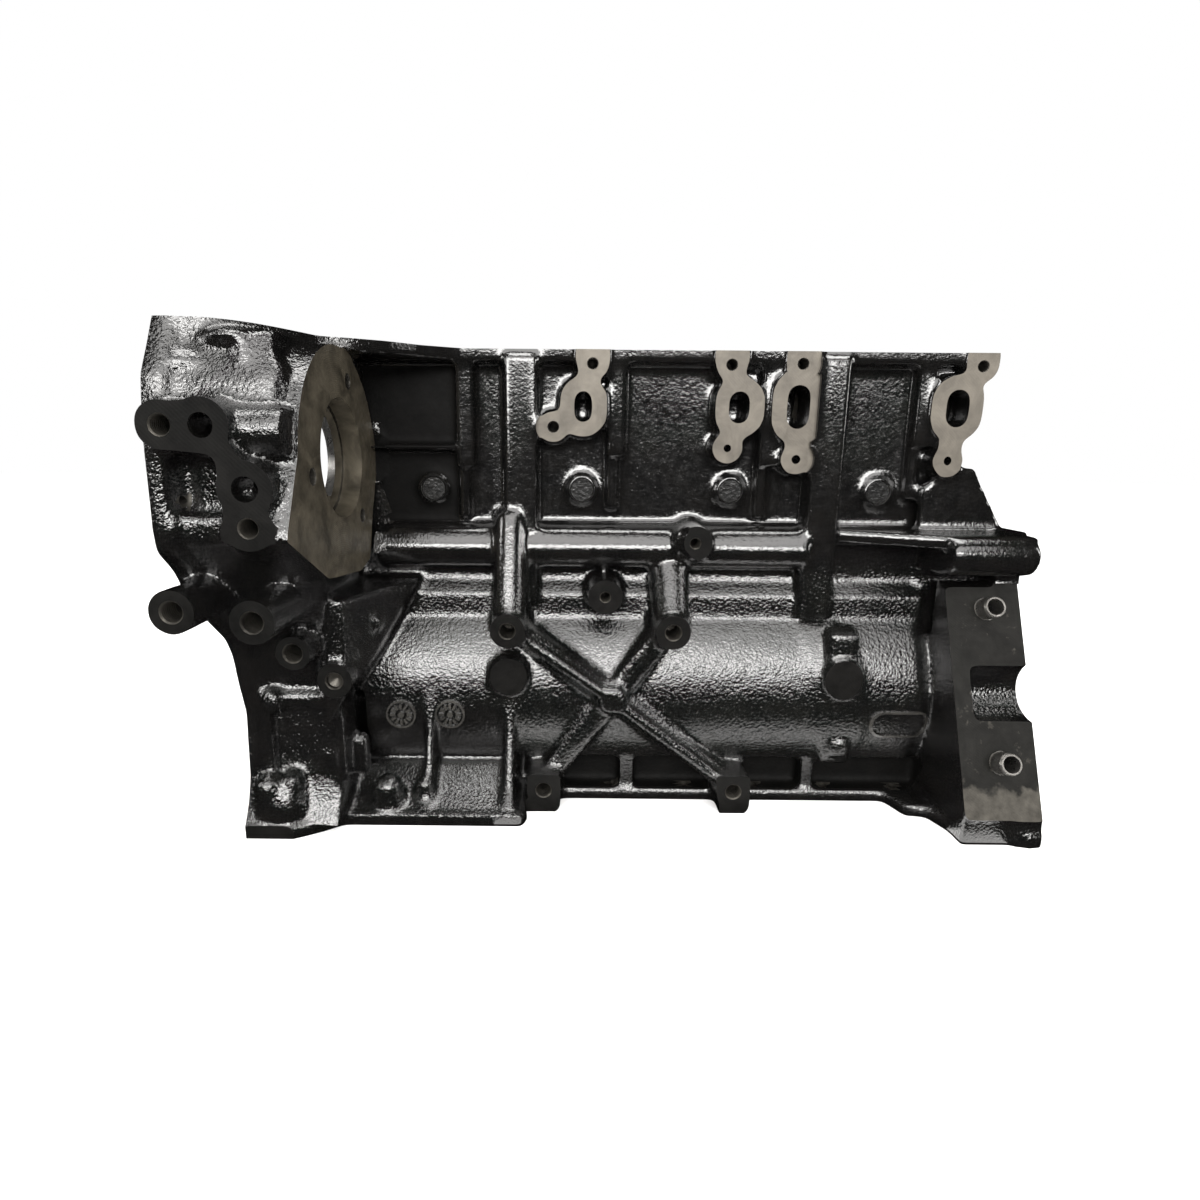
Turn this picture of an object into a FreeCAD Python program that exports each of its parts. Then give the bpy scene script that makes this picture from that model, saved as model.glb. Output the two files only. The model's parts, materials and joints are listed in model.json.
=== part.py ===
import FreeCAD, Part
import math
import os
import Sketcher
from FreeCAD import Rotation, Vector

# Cylinder block of an inline four-cylinder engine, in millimetres.
# The origin is on the crankshaft axis at the middle main bearing.
# +X runs along the crankshaft to the flywheel end, +Z to the head deck,
# and -Y is the side with the pump flange and the mounting bosses.

doc = FreeCAD.newDocument("engine_block")
sheet = doc.addObject("Spreadsheet::Sheet", "sizes")
sheet.Label = "sizes"
rows_used = 0


class Size:
    """A length that knows its number and the sheet formula that gives it."""

    def __init__(self, number, formula):
        self.number = number
        self.formula = formula

    def join(self, other, sign, number):
        return Size(number, "(" + self.formula + " " + sign + " " + as_size(other).formula + ")")

    def __add__(self, other):
        return self.join(other, "+", self.number + as_size(other).number)

    def __sub__(self, other):
        return self.join(other, "-", self.number - as_size(other).number)

    def __mul__(self, other):
        return self.join(other, "*", self.number * as_size(other).number)

    def __truediv__(self, other):
        return self.join(other, "/", self.number / as_size(other).number)

    def __radd__(self, other):
        return as_size(other) + self

    def __rsub__(self, other):
        return as_size(other) - self

    def __rmul__(self, other):
        return as_size(other) * self

    def __rtruediv__(self, other):
        return as_size(other) / self

    def __neg__(self):
        return Size(-self.number, "(0 - " + self.formula + ")")

    def root(self):
        return Size(math.sqrt(self.number), "sqrt(" + self.formula + ")")


def as_size(value):
    if isinstance(value, Size):
        return value
    return Size(value, "(" + repr(value) + ")")


def size(alias, number, note):
    """Writes one named value into the sheet."""
    global rows_used
    rows_used += 1
    sheet.set("A" + str(rows_used), alias)
    sheet.set("B" + str(rows_used), str(number))
    sheet.set("C" + str(rows_used), note)
    sheet.setAlias("B" + str(rows_used), alias)
    return Size(number, "sizes." + alias)


def spot(name, x, z, note):
    """Writes a place on a side of the block, along the crankshaft and above it."""
    return size(name + "_x", x, note + ", along the block"), size(name + "_z", z, note + ", height")


# Driving dimensions of the running gear
bore_pitch = size("bore_pitch", 104, "distance between cylinder axes")
bore_radius = size("bore_radius", 47.7, "cylinder bore")
deck_height = size("deck_height", 255, "crankshaft axis to head deck")
skirt_depth = size("skirt_depth", 62, "crankshaft axis to sump face")
main_radius = size("main_radius", 37, "main bearing housing bore")
main_width = size("main_width", 24, "length of a main bearing housing")
throw_radius = size("throw_radius", 87, "room that a crank throw sweeps")
bore_foot = size("bore_foot", 96, "height of the lower end of the cylinder bores")
cylinder_wall = size("cylinder_wall", 7.3, "iron round a bore inside the water jacket")
jacket_gap = size("jacket_gap", 9, "width of the water jacket")
jacket_floor = size("jacket_floor", 128, "height of the water jacket's floor")
jacket_wall = size("jacket_wall", 6, "iron outside the water jacket at its rear end")
deck_roof = size("deck_roof", 12, "iron between the water jacket and the deck")

# Driving dimensions of the outer casting
wall_half = size("wall_half", 72, "half width over the cylinder walls")
deck_half = size("deck_half", 84, "half width of the deck flange")
deck_plate = size("deck_plate", 8, "thickness of the deck flange")
deck_end = size("deck_end", 226, "rear end of the deck")
end_wall = size("end_wall", 213, "rear end of the water jacket wall")
rear_face = size("rear_face", 250, "bell housing face")
rear_flange = size("rear_flange", 16, "thickness of the bell housing flange")
front_face = size("front_face", 271, "timing cover face, ahead of the origin")
front_flange = size("front_flange", 11, "thickness of the timing cover flange")
case_depth = size("case_depth", 45, "depth of the gear chamber")
case_end = size("case_end", 211, "rear end of the gear case's outer wall, ahead of the origin")
case_step = size("case_step", 5, "how far the gear case lies inside its flange's edge")
case_wall = size("case_wall", 12, "wall of the gear chamber")
pump_face = size("pump_face", 197, "pump flange face, ahead of the origin")
barrel_radius = size("barrel_radius", 93, "outer radius of the crankcase barrel")
barrel_offset = size("barrel_offset", 11, "barrel centre out from the crankshaft axis")
barrel_rise = size("barrel_rise", 10, "barrel centre above the crankshaft axis")
barrel_start = size("barrel_start", 205, "front end of the barrel, ahead of the origin")
barrel_end = size("barrel_end", 211, "rear end of the barrel")
barrel_dome = size("barrel_dome", 24, "length of the barrel's domed rear end")
skirt_half = size("skirt_half", 84, "half width of the skirt behind its pockets")
skirt_wall = size("skirt_wall", 8, "thickness of the skirt")
rail_half = size("rail_half", 99, "half width of the sump rail")
rail_plate = size("rail_plate", 8, "thickness of the sump rail")
pocket_top = size("pocket_top", 31, "depth of the skirt pockets' top below the axis")

cylinder_count = 4
front_cylinder = -1.5
bore_places = [bore_pitch * (front_cylinder + i) for i in range(cylinder_count)]
main_places = [bore_pitch * (front_cylinder - 0.5 + i) for i in range(cylinder_count + 1)]


def below_deck(name, x, drop, note):
    """Writes a place that keeps its distance from the deck."""
    along = size(name + "_x", x, note + ", along the block")
    return along, deck_height - size(name + "_drop", drop, note + ", drop")


AXIS_TURNS = {
    "X": Rotation(Vector(0, 1, 0), 90),
    "Y": Rotation(Vector(1, 0, 0), -90),
    "Z": Rotation(),
}

# Each plane's sketch directions, and the direction in which it is extruded
PLANES = {
    "XY": (Rotation(), Vector(0, 0, 1)),
    "XZ": (Rotation(Vector(1, 0, 0), 90), Vector(0, 1, 0)),
    "YZ": (Rotation(Vector(1, 1, 1), 120), Vector(1, 0, 0)),
}


def bind(thing, prop, value):
    """Ties a property to the sheet."""
    thing.setExpression(prop, as_size(value).formula)


def place_at(thing, turn, x, y, z):
    thing.Placement = FreeCAD.Placement(Vector(0, 0, 0), turn)
    bind(thing, "Placement.Base.x", x)
    bind(thing, "Placement.Base.y", y)
    bind(thing, "Placement.Base.z", z)


def box(name, x, y, z):
    """A block between two values along each axis."""
    thing = doc.addObject("Part::Box", name)
    bind(thing, "Length", as_size(x[1]) - x[0])
    bind(thing, "Width", as_size(y[1]) - y[0])
    bind(thing, "Height", as_size(z[1]) - z[0])
    place_at(thing, Rotation(), x[0], y[0], z[0])
    return thing


def rod(name, axis, radius, span, across):
    """A cylinder along an axis. across gives its centre on the other two axes, in X, Y, Z order."""
    thing = doc.addObject("Part::Cylinder", name)
    bind(thing, "Radius", radius)
    bind(thing, "Height", as_size(span[1]) - span[0])
    first, second = across
    spot = {"X": (span[0], first, second), "Y": (first, span[0], second), "Z": (first, second, span[0])}
    place_at(thing, AXIS_TURNS[axis], *spot[axis])
    return thing


def taper(name, axis, radius_low, radius_high, span, across):
    """A cone along an axis, from its radius at the low end to its radius at the high end."""
    thing = doc.addObject("Part::Cone", name)
    bind(thing, "Radius1", radius_low)
    bind(thing, "Radius2", radius_high)
    bind(thing, "Height", as_size(span[1]) - span[0])
    first, second = across
    spot = {"X": (span[0], first, second), "Y": (first, span[0], second), "Z": (first, second, span[0])}
    place_at(thing, AXIS_TURNS[axis], *spot[axis])
    return thing


def outline(sketch, points):
    """Draws a closed outline whose corners are tied to the sheet."""
    corners = [(as_size(a), as_size(b)) for a, b in points]
    for i, (a, b) in enumerate(corners):
        c, d = corners[(i + 1) % len(corners)]
        sketch.addGeometry(
            Part.LineSegment(Vector(a.number, b.number, 0), Vector(c.number, d.number, 0)), False)
    for i in range(len(corners)):
        following = (i + 1) % len(corners)
        sketch.addConstraint(Sketcher.Constraint("Coincident", i, 2, following, 1))
    for i, (a, b) in enumerate(corners):
        for kind, value in (("DistanceX", a), ("DistanceY", b)):
            index = sketch.addConstraint(Sketcher.Constraint(kind, -1, 1, i, 1, value.number))
            sketch.setExpression("Constraints[" + str(index) + "]", value.formula)


def prism(name, plane, points, span):
    """A closed outline on a plane, extruded along the plane's third axis."""
    turn, along = PLANES[plane]
    sketch = doc.addObject("Sketcher::SketchObject", name + "_outline")
    spot = {"XY": (0, 0, span[0]), "XZ": (0, span[0], 0), "YZ": (span[0], 0, 0)}
    place_at(sketch, turn, *spot[plane])
    outline(sketch, points)
    thing = doc.addObject("Part::Extrusion", name)
    thing.Base = sketch
    thing.DirMode = "Custom"
    thing.Dir = along
    thing.Solid = True
    bind(thing, "LengthFwd", as_size(span[1]) - span[0])
    return thing


def bar(name, start, end, width, span):
    """A straight bar of even width between two places on the side of the block."""
    along, rise = as_size(end[0]) - start[0], as_size(end[1]) - start[1]
    length = (along * along + rise * rise).root()
    across = rise / length * width / 2
    upward = along / length * width / 2
    return prism(name, "XZ", [
        (start[0] + across, start[1] - upward),
        (end[0] + across, end[1] - upward),
        (end[0] - across, end[1] + upward),
        (start[0] - across, start[1] + upward),
    ], span)


def inset(name, outer, distance, span):
    """A prism's outline moved inwards by a distance, and extruded along X."""
    edge = doc.addObject("Part::Offset2D", name + "_outline")
    edge.Source = outer
    edge.Join = 2
    bind(edge, "Value", -as_size(distance))
    thing = doc.addObject("Part::Extrusion", name)
    thing.Base = edge
    thing.DirMode = "Custom"
    thing.Dir = Vector(1, 0, 0)
    thing.Solid = True
    bind(thing, "LengthFwd", as_size(span[1]) - span[0])
    bind(thing, "Placement.Base.x", span[0] + front_face)
    return thing


def joined(name, things):
    thing = doc.addObject("Part::MultiFuse", name)
    thing.Shapes = things
    thing.Refine = False
    return thing


def shared(name, first, second):
    thing = doc.addObject("Part::Common", name)
    thing.Base = first
    thing.Tool = second
    return thing


def removed(name, base, tool):
    thing = doc.addObject("Part::Cut", name)
    thing.Base = base
    thing.Tool = tool
    thing.Refine = False
    return thing


solids = []
cuts = []
beyond = size("beyond", 5, "how far a cut runs past an open face")
deck_roof_height = deck_height - deck_roof
jacket_radius = bore_radius + cylinder_wall + jacket_gap
chamber_floor = front_face - case_depth

# Upper block with its deck flange

front_wall = pump_face + 12
solids.append(box("jacket_walls", (-front_wall, end_wall), (-wall_half, wall_half),
                  (bore_foot - main_radius, deck_height - deck_plate / 2)))
last_bore = bore_places[cylinder_count - 1]
solids.append(rod("rear_jacket_round", "Z", jacket_radius + jacket_wall,
                  (bore_foot - 6, deck_height - deck_plate / 2), (last_bore, 0)))
case_far_top = size("case_far_top", 100, "half width of the gear case at the deck, far side")
case_near_top = size("case_near_top", 190, "reach of the gear case at the deck, near side")
solids.append(prism("deck", "XY", [
    (-front_face, -case_near_top),
    (-front_face + 24, -case_near_top + 2),
    (-front_face + 34, -case_near_top + 9),
    (-front_face + 42, -case_near_top + 18),
    (-front_face + 49, -case_near_top + 31),
    (-front_face + 56, -case_near_top + 47),
    (-front_face + 61, -case_near_top + 60),
    (-front_face + 78, -case_near_top + 67),
    (-front_face + 96, -case_near_top + 77),
    (-front_face + 114, -case_near_top + 93),
    (-front_face + 139, -deck_half),
    (deck_end - 10, -deck_half),
    (deck_end, -deck_half + 4),
    (deck_end, deck_half - 6),
    (deck_end - 6, deck_half),
    (-front_face + 96, deck_half),
    (-front_face + 70, case_far_top),
    (-front_face, case_far_top),
], (deck_height - deck_plate, deck_height)))

# Crankcase barrel, shoulder, skirt and sump rail


def barrel_side(name, side):
    """One side of the crankcase barrel, above the skirt pockets."""
    centre = (barrel_offset * side, barrel_rise)
    barrel = joined(name + "_form", [
        rod(name + "_round", "X", barrel_radius, (-barrel_start, barrel_end - barrel_dome), centre),
        taper(name + "_dome_1", "X", barrel_radius, barrel_radius - 6,
              (barrel_end - barrel_dome, barrel_end - barrel_dome / 2), centre),
        taper(name + "_dome_2", "X", barrel_radius - 6, barrel_radius - 21,
              (barrel_end - barrel_dome / 2, barrel_end), centre),
    ])
    reach = barrel_offset + barrel_radius + beyond
    inner = (0, reach) if side > 0 else (-reach, 0)
    limit = box(name + "_limit", (-barrel_start, barrel_end), inner, (-pocket_top, bore_foot))
    return shared(name, barrel, limit)


shoulder_top = size("shoulder_top", 98, "height of the shoulder's upper edge")
shoulder_out = size("shoulder_out", 80, "reach of the shoulder")
shoulder_foot = size("shoulder_foot", 68, "height of the shoulder's lower edge")


def shoulder(name, side):
    return prism(name, "YZ", [
        (0, shoulder_top + 4),
        (wall_half * side, shoulder_top),
        (shoulder_out * side, shoulder_top - 10),
        ((shoulder_out + 1) * side, shoulder_foot),
        (0, shoulder_foot - 12),
    ], (-front_wall + 14, barrel_end - 17))


for side_name, side in (("near", -1), ("far", 1)):
    solids.append(barrel_side("barrel_" + side_name, side))
    solids.append(shoulder("shoulder_" + side_name, side))
solids.append(box("skirt", (-front_wall, rear_face - rear_flange), (-skirt_half, skirt_half),
                  (-skirt_depth, barrel_rise)))
solids.append(box("bulkhead_mass", (-front_wall, end_wall), (-wall_half, wall_half),
                  (0, bore_foot)))

foot_reach = size("foot_reach", 152, "reach of the rear foot at the sump face")
case_reach = size("case_reach", 153, "reach of the gear case at the sump face")
shelf_reach = size("shelf_reach", 136, "reach of the wide front part of the sump rail")
shelf_end = size("shelf_end", 92, "rear end of that wide part, ahead of the origin")
case_far_foot = size("case_far_foot", 118, "half width of the gear case at the sump, far side")
solids.append(prism("sump_rail", "XY", [
    (-front_face, -case_reach),
    (-front_face + 30, -case_reach),
    (-front_face + 36, -case_reach + 2),
    (-front_face + 48, -case_reach + 9),
    (-front_face + 59, -shelf_reach),
    (-shelf_end, -shelf_reach),
    (-shelf_end + 3, -shelf_reach + 4),
    (-shelf_end + 6, -shelf_reach + 20),
    (-shelf_end + 12, -rail_half - 9),
    (-shelf_end + 28, -rail_half),
    (rear_face - 78, -rail_half),
    (rear_face - 71, -rail_half - 19),
    (rear_face - 57, -rail_half - 21),
    (rear_face - 50, -foot_reach + 13),
    (rear_face - 46, -foot_reach + 6),
    (rear_face - 16, -foot_reach + 2),
    (rear_face - 8, -foot_reach - 4),
    (rear_face, -foot_reach - 3),
    (rear_face, rail_half + 20),
    (rear_face - 40, rail_half + 14),
    (rear_face - 60, rail_half),
    (-front_face + 80, rail_half),
    (-front_face + 60, case_far_foot),
    (-front_face, case_far_foot),
], (-skirt_depth, -skirt_depth + rail_plate)))

# Ribs between the sump rail and the barrel's underside
pocket_rib = size("pocket_rib", 10, "thickness of a rib between two skirt pockets")
near_rib_places = [size("near_rib_front", -17, "front rib between the near skirt pockets"),
                   size("near_rib_rear", 116, "rear rib between the near skirt pockets")]
for side_name, low, high, places in (("near", -rail_half + 3, -skirt_half + 2, near_rib_places),
                                     ("far", skirt_half - 2, rail_half - 3, main_places)):
    for i, middle in enumerate(places):
        solids.append(box("pocket_rib_" + side_name + "_" + str(i + 1),
                          (middle - pocket_rib / 2, middle + pocket_rib / 2), (low, high),
                          (-skirt_depth + 2, -pocket_top + 2)))

# Gear case at the front end

case_profile = [
    (-case_near_top, deck_height),
    (-case_near_top - 7, deck_height - 15),
    (-case_near_top - 15, deck_height - 30),
    (-case_near_top - 19, deck_height - 65),
    (-case_near_top - 20, deck_height - 105),
    (-case_near_top - 19, deck_height - 117),
    (-case_near_top - 9, deck_height - 127),
    (-case_near_top + 20, deck_height - 165),
    (-case_reach, 74),
    (-case_reach + 6, 62),
    (-case_reach + 10, 41),
    (-case_reach + 16, 20),
    (-case_reach + 13, -skirt_depth + 37),
    (-case_reach + 8, -skirt_depth + 22),
    (-case_reach, -skirt_depth + 8),
    (-case_reach, -skirt_depth),
    (case_far_foot, -skirt_depth),
    (case_far_foot + 8, -skirt_depth + 20),
    (case_far_foot + 14, 20),
    (case_far_foot + 14, 90),
    (case_far_top + 20, 180),
    (case_far_top + 6, deck_height - 35),
    (case_far_top, deck_height),
]
solids.append(prism("timing_flange", "YZ", case_profile, (-front_face, -front_face + front_flange)))

pump_y = size("pump_y", 138, "pump axis out from the crankshaft axis")
pump_below = size("pump_below", 71, "pump axis below the deck")
pump_z = deck_height - pump_below
pump_bore = size("pump_bore", 35.5, "radius of the pump bore")
pump_rim = size("pump_rim", 65, "radius of the pump flange")
pump_lip = size("pump_lip", 32.5, "radius of the lip inside the pump bore")
case_outline = doc.getObject("timing_flange_outline")
solids.append(inset("case_body", case_outline, case_step, (-front_face, -case_end)))
solids.append(rod("pump_boss", "X", pump_rim, (-case_end - 38, -pump_face), (-pump_y, pump_z)))
solids.append(prism("pump_skirt", "YZ", [
    (-pump_y - pump_rim + 1, pump_z + 6),
    (-pump_y - pump_rim - 20, pump_z - 34),
    (-pump_y - pump_rim - 21, pump_z - 38),
    (-pump_y - 35, pump_z - 67),
    (-pump_y + 23, pump_z - 73),
    (-pump_y + 42, pump_z - 68),
    (-pump_y + pump_rim - 1, pump_z - 10),
], (-case_end - 20, -pump_face)))

# Machined pads and bosses on the near side of the gear case

pad_face = size("pad_face", 222, "machined face of the front pads and bosses")
pad_below = size("pad_below", 54, "upper pair of pad holes below the deck")
pad_height = deck_height - pad_below
pad_front = size("pad_front", 254, "front pad hole, ahead of the origin")
pad_second = size("pad_second", 234.5, "second pad hole, ahead of the origin")
pad_third = size("pad_third", 216.5, "third and fourth pad holes, ahead of the origin")
pad_third_drop = size("pad_third_drop", 30, "third pad hole below the upper pair")
pad_fourth_drop = size("pad_fourth_drop", 49, "fourth pad hole below the upper pair")
pad_spots = [
    (-pad_front, pad_height),
    (-pad_second, pad_height),
    (-pad_third, pad_height - pad_third_drop),
    (-pad_third, pad_height - pad_fourth_drop),
]
pad_holes = [
    size("pad_hole_1", 4.8, "radius of the front pad hole"),
    size("pad_hole_2", 6.3, "radius of the second pad hole"),
    size("pad_hole_3", 6.7, "radius of the third pad hole"),
    size("pad_hole_4", 4.6, "radius of the fourth pad hole"),
]
pad_depths = [
    size("pad_depth_1", 22, "depth of the front pad hole"),
    size("pad_depth_2", 24, "depth of the second pad hole"),
    size("pad_depth_3", 9, "depth of the third pad hole"),
    size("pad_depth_4", 24, "depth of the fourth pad hole"),
]
pad_rim = size("pad_rim", 7.2, "width of a front pad round its hole")
for i, place in enumerate(pad_spots):
    solids.append(rod("pad_lobe_" + str(i + 1), "Y", pad_holes[i] + pad_rim,
                      (-pad_face, -pump_y - 20), place))
    cuts.append(rod("pad_tap_" + str(i + 1), "Y", pad_holes[i],
                    (-pad_face - beyond, -pad_face + pad_depths[i]), place))
solids.append(prism("pad_bridge", "XZ", [
    (-pad_front, pad_height + 11),
    (-pad_second, pad_height + 11),
    (-pad_third + 2, pad_height - 20),
    (-pad_third + 11, pad_height - 40),
    (-pad_third - 11, pad_height - 45),
    (-pad_third - 13, pad_height - 14),
    (-pad_front - 5, pad_height - 11),
], (-pad_face, -case_near_top - 6)))

boss_radius = size("boss_radius", 11.8, "outer radius of a long mounting boss")
boss_low = size("boss_low", 109.5, "height of the front long boss")
boss_gap = size("boss_gap", 40, "distance between the two long front bosses")
boss_drop = size("boss_drop", 5, "rear long boss below the front one")
boss_tap = size("boss_tap", 5.4, "radius of a long boss's tapped hole")
boss_tap_depth = size("boss_tap_depth", 34, "depth of a long boss's tapped hole")
long_spots = [(-pad_front - 5, boss_low), (-pad_front - 5 + boss_gap, boss_low - boss_drop)]
for i, place in enumerate(long_spots):
    solids.append(rod("long_boss_" + str(i + 1), "Y", boss_radius, (-pad_face, -case_reach + 12), place))
    cuts.append(rod("long_boss_tap_" + str(i + 1), "Y", boss_tap,
                    (-pad_face - beyond, -pad_face + boss_tap_depth), place))
pipe_radius = size("pipe_radius", 13, "radius of the cast pipes behind the front pads")
for i, drop in enumerate((3, pad_third_drop)):
    solids.append(rod("case_pipe_" + str(i + 1), "X", pipe_radius, (-pad_second, -pump_face - 3),
                      (-pad_face + pipe_radius + 5 + 4 * i, pad_height - drop)))
solids.append(shared(
    "case_gusset",
    prism("gusset_side", "XZ", [
        (-pump_face - 18, 99),
        (-pump_face + 30, 99),
        (-pump_face + 8, 54),
        (-pump_face - 14, 20),
        (-pump_face - 18, 14),
    ], (-case_reach, -wall_half + 8)),
    prism("gusset_plan", "XY", [
        (-pump_face - 20, -case_reach + 3),
        (-pump_face - 3, -case_reach + 3),
        (-pump_face + 14, -wall_half - 44),
        (-pump_face + 30, -wall_half - 14),
        (-pump_face + 34, -wall_half + 8),
        (-pump_face - 20, -wall_half + 8),
    ], (10, 104))))
knob_1 = spot("knob_1", -197.5, 62, "front knob beside the dimpled boss")
knob_2 = spot("knob_2", -187, 77, "rear knob beside the dimpled boss")
solids.append(taper("knob_1_dome", "Y", 4, 7, (-case_reach + 13, -case_reach + 19), knob_1))
solids.append(rod("knob_1_round", "Y", 7, (-case_reach + 19, -wall_half - 14), knob_1))
solids.append(rod("knob_2_round", "Y", 4.5, (-case_reach + 26, -wall_half - 14), knob_2))
panel_front, panel_rear = -front_face + 15, -front_face + 58
panel_top = size("panel_top", 35, "height of the ledge over the plain panel of the gear case")
solids.append(box("panel_ledge", (panel_front, panel_rear), (-case_reach + 11, -case_reach + 30),
                  (panel_top - 10, panel_top)))
solids.append(box("panel_strip", (-front_face + 9, -front_face + 17), (-case_reach + 12, -case_reach + 30),
                  (-skirt_depth + 30, panel_top)))
solids.append(box("panel_rib", (panel_rear, panel_rear + 6), (-case_reach + 15, -case_reach + 40),
                  (-skirt_depth + 34, panel_top)))
for name, x, y, radius, low, high in (
        ("corner_post_1", -257, -143, 9, -skirt_depth + 3, -26),
        ("corner_post_2", -242, -141, 6, -skirt_depth + 3, -24),
        ("small_post_1", -220, -131, 4.5, -30, -9),
        ("small_post_2", -202, -121, 6, -30, -4),
        ("rail_post", -184, -124, 10, -skirt_depth + 3, -36),
        ("rib_post", -160, -119, 6.5, -skirt_depth + 3, -38)):
    solids.append(rod(name, "Z", radius, (low, high), (x, y)))
    solids.append(taper(name + "_dome", "Z", radius, radius / 2, (high, high + radius / 2), (x, y)))
oval_x, oval_z = spot("oval_boss", -251, 30, "oval boss over the panel")
for name, across, up, span, group in (
        ("oval_boss", 5, 8, (-case_reach + 6, -case_reach + 30), solids),
        ("oval_hole", 2.4, 5, (-case_reach + 1, -case_reach + 16), cuts)):
    group.append(prism(name, "XZ", [
        (oval_x - across, oval_z - up / 2),
        (oval_x - across / 2, oval_z - up),
        (oval_x + across / 2, oval_z - up),
        (oval_x + across, oval_z - up / 2),
        (oval_x + across, oval_z + up / 2),
        (oval_x + across / 2, oval_z + up),
        (oval_x - across / 2, oval_z + up),
        (oval_x - across, oval_z + up / 2),
    ], span))
tube_spot = spot("tube_boss", -222, 72, "boss with a drilled passage")
tube_face = size("tube_face", 172, "machined face of the boss with the passage")
tube_hole = size("tube_hole", 5.4, "radius of the passage in that boss")
blind_spot = spot("blind_boss", -206, 48, "boss with a shallow dimple")
blind_face = size("blind_face", 153, "machined face of the dimpled boss")
blind_dimple = size("blind_dimple", 5, "radius of the dimple in that boss")
solids.append(rod("tube_boss", "Y", boss_radius - 1, (-tube_face, -case_reach + 30), tube_spot))
solids.append(rod("blind_boss", "Y", boss_radius - 0.5, (-blind_face, -case_reach + 50), blind_spot))
cuts.append(rod("tube_boss_bore", "Y", tube_hole,
                (-tube_face - beyond, -case_reach + case_wall + 20), tube_spot))
cuts.append(rod("blind_boss_dimple", "Y", blind_dimple,
                (-blind_face - beyond, -blind_face + 3), blind_spot))

# Machined pump face, bores and the gear chamber

pump_bore_depth = size("pump_bore_depth", 12, "depth of the pump bore down to its lip")
cuts.append(rod("pump_bore_cut", "X", pump_bore, (-pump_face - pump_bore_depth, -pump_face + beyond),
                (-pump_y, pump_z)))
gear_pocket = size("gear_pocket", 46, "radius of the pump gear's pocket in the gear chamber")
gear_pocket_floor = size("gear_pocket_floor", 214, "floor of that pocket, ahead of the origin")
cuts.append(rod("pump_gear_pocket", "X", gear_pocket,
                (-front_face - beyond, -gear_pocket_floor), (-pump_y, pump_z)))
cuts.append(rod("pump_lip_cut", "X", pump_lip, (-chamber_floor - beyond, -pump_face), (-pump_y, pump_z)))

# Sides of the block above the shoulder

rib_front = size("rib_front", 88, "reach of the tall ribs")
half_rib_front = size("half_rib_front", 83, "reach of the short ribs")
gallery_radius = size("gallery_radius", 13, "outer radius of the oil gallery tube")
gallery_height = size("gallery_height", 125.5, "height of the oil gallery")
solids.append(rod("gallery_tube", "X", gallery_radius, (-pump_face + 12, 106),
                  (-wall_half - 5, gallery_height)))
# Engine mount bosses and the oil filter pad on the far side
mount_face = size("mount_face", 112, "machined face of the engine mount bosses")
mount_radius = size("mount_radius", 14, "outer radius of an engine mount boss")
mount_hole = size("mount_hole", 5.1, "radius of an engine mount boss's tapped hole")
mount_depth = size("mount_depth", 26, "depth of an engine mount boss's tapped hole")
mount_spread = size("mount_spread", 90, "distance between the upper engine mount bosses")
mount_x = size("mount_x", -52, "middle of the engine mount, along the block")
mount_high = size("mount_high", 58, "height of the upper engine mount bosses")
mount_low = size("mount_low", -14, "height of the lower engine mount bosses")
mount_ends = (mount_x - mount_spread / 2, mount_x + mount_spread / 2)
for i, (x, z) in enumerate([(x, z) for z in (mount_high, mount_low) for x in mount_ends]):
    number = str(i + 1)
    solids.append(taper("mount_boss_" + number, "Y", mount_radius + 3, mount_radius,
                        (skirt_half - 6, mount_face), (x, z)))
    cuts.append(rod("mount_tap_" + number, "Y", mount_hole, (mount_face - mount_depth, mount_face + beyond),
                    (x, z)))
filter_spot = spot("filter_pad", 106, 34, "oil filter pad on the far side")
filter_radius = size("filter_radius", 40, "radius of the oil filter pad")
filter_face = size("filter_face", 118, "machined face of the oil filter pad")
filter_groove = size("filter_groove", 31, "outer radius of the oil ring in the filter pad")
filter_groove_width = size("filter_groove_width", 13, "width of that ring")
filter_stud = size("filter_stud", 9, "radius of the threaded hole in the filter pad")
solids.append(rod("filter_pad", "Y", filter_radius, (skirt_half - 8, filter_face), filter_spot))
filter_ring = removed("filter_ring", rod("filter_ring_outer", "Y", filter_groove,
                                         (filter_face - 8, filter_face + beyond), filter_spot),
                      rod("filter_ring_inner", "Y", filter_groove - filter_groove_width,
                          (filter_face - 8 - beyond, filter_face + 2 * beyond), filter_spot))
cuts.append(filter_ring)
cuts.append(rod("filter_stud_hole", "Y", filter_stud,
                (filter_face - 26, filter_face + beyond), filter_spot))
solids.append(rod("gallery_tube_far", "X", gallery_radius - 2, (-pump_face + 12, end_wall - 4),
                  (wall_half + 1, gallery_height)))


def side_rib(name, middle, width, low, high, reach):
    return box(name, (middle - width / 2, middle + width / 2), (-reach, -wall_half + 4), (low, high))


front_rib_x = size("front_rib_x", -94, "tall rib between the first two cylinders")
front_rib_width = size("front_rib_width", 22, "width of that rib")
rear_rib_x = size("rear_rib_x", 114.5, "tall rib between the last two cylinders")
rear_rib_width = size("rear_rib_width", 22, "width of that rib")
solids.append(side_rib("tall_rib_1", front_rib_x, front_rib_width, 84, deck_height - 4, rib_front))
solids.append(side_rib("tall_rib_2", rear_rib_x, rear_rib_width, 74, deck_height - 4, rib_front))
half_ribs = [
    below_deck("half_rib_1", -132, 113, "foot of the first short rib"),
    below_deck("half_rib_2", -29, 105, "foot of the second short rib"),
    below_deck("half_rib_3", 74.5, 111, "foot of the third short rib"),
    below_deck("half_rib_4", 179, 97, "foot of the fourth short rib"),
]
half_rib_width = size("half_rib_width", 12, "width of a short rib")
half_rib_step = size("half_rib_step", 36, "height of the narrow foot of a short rib")
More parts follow.
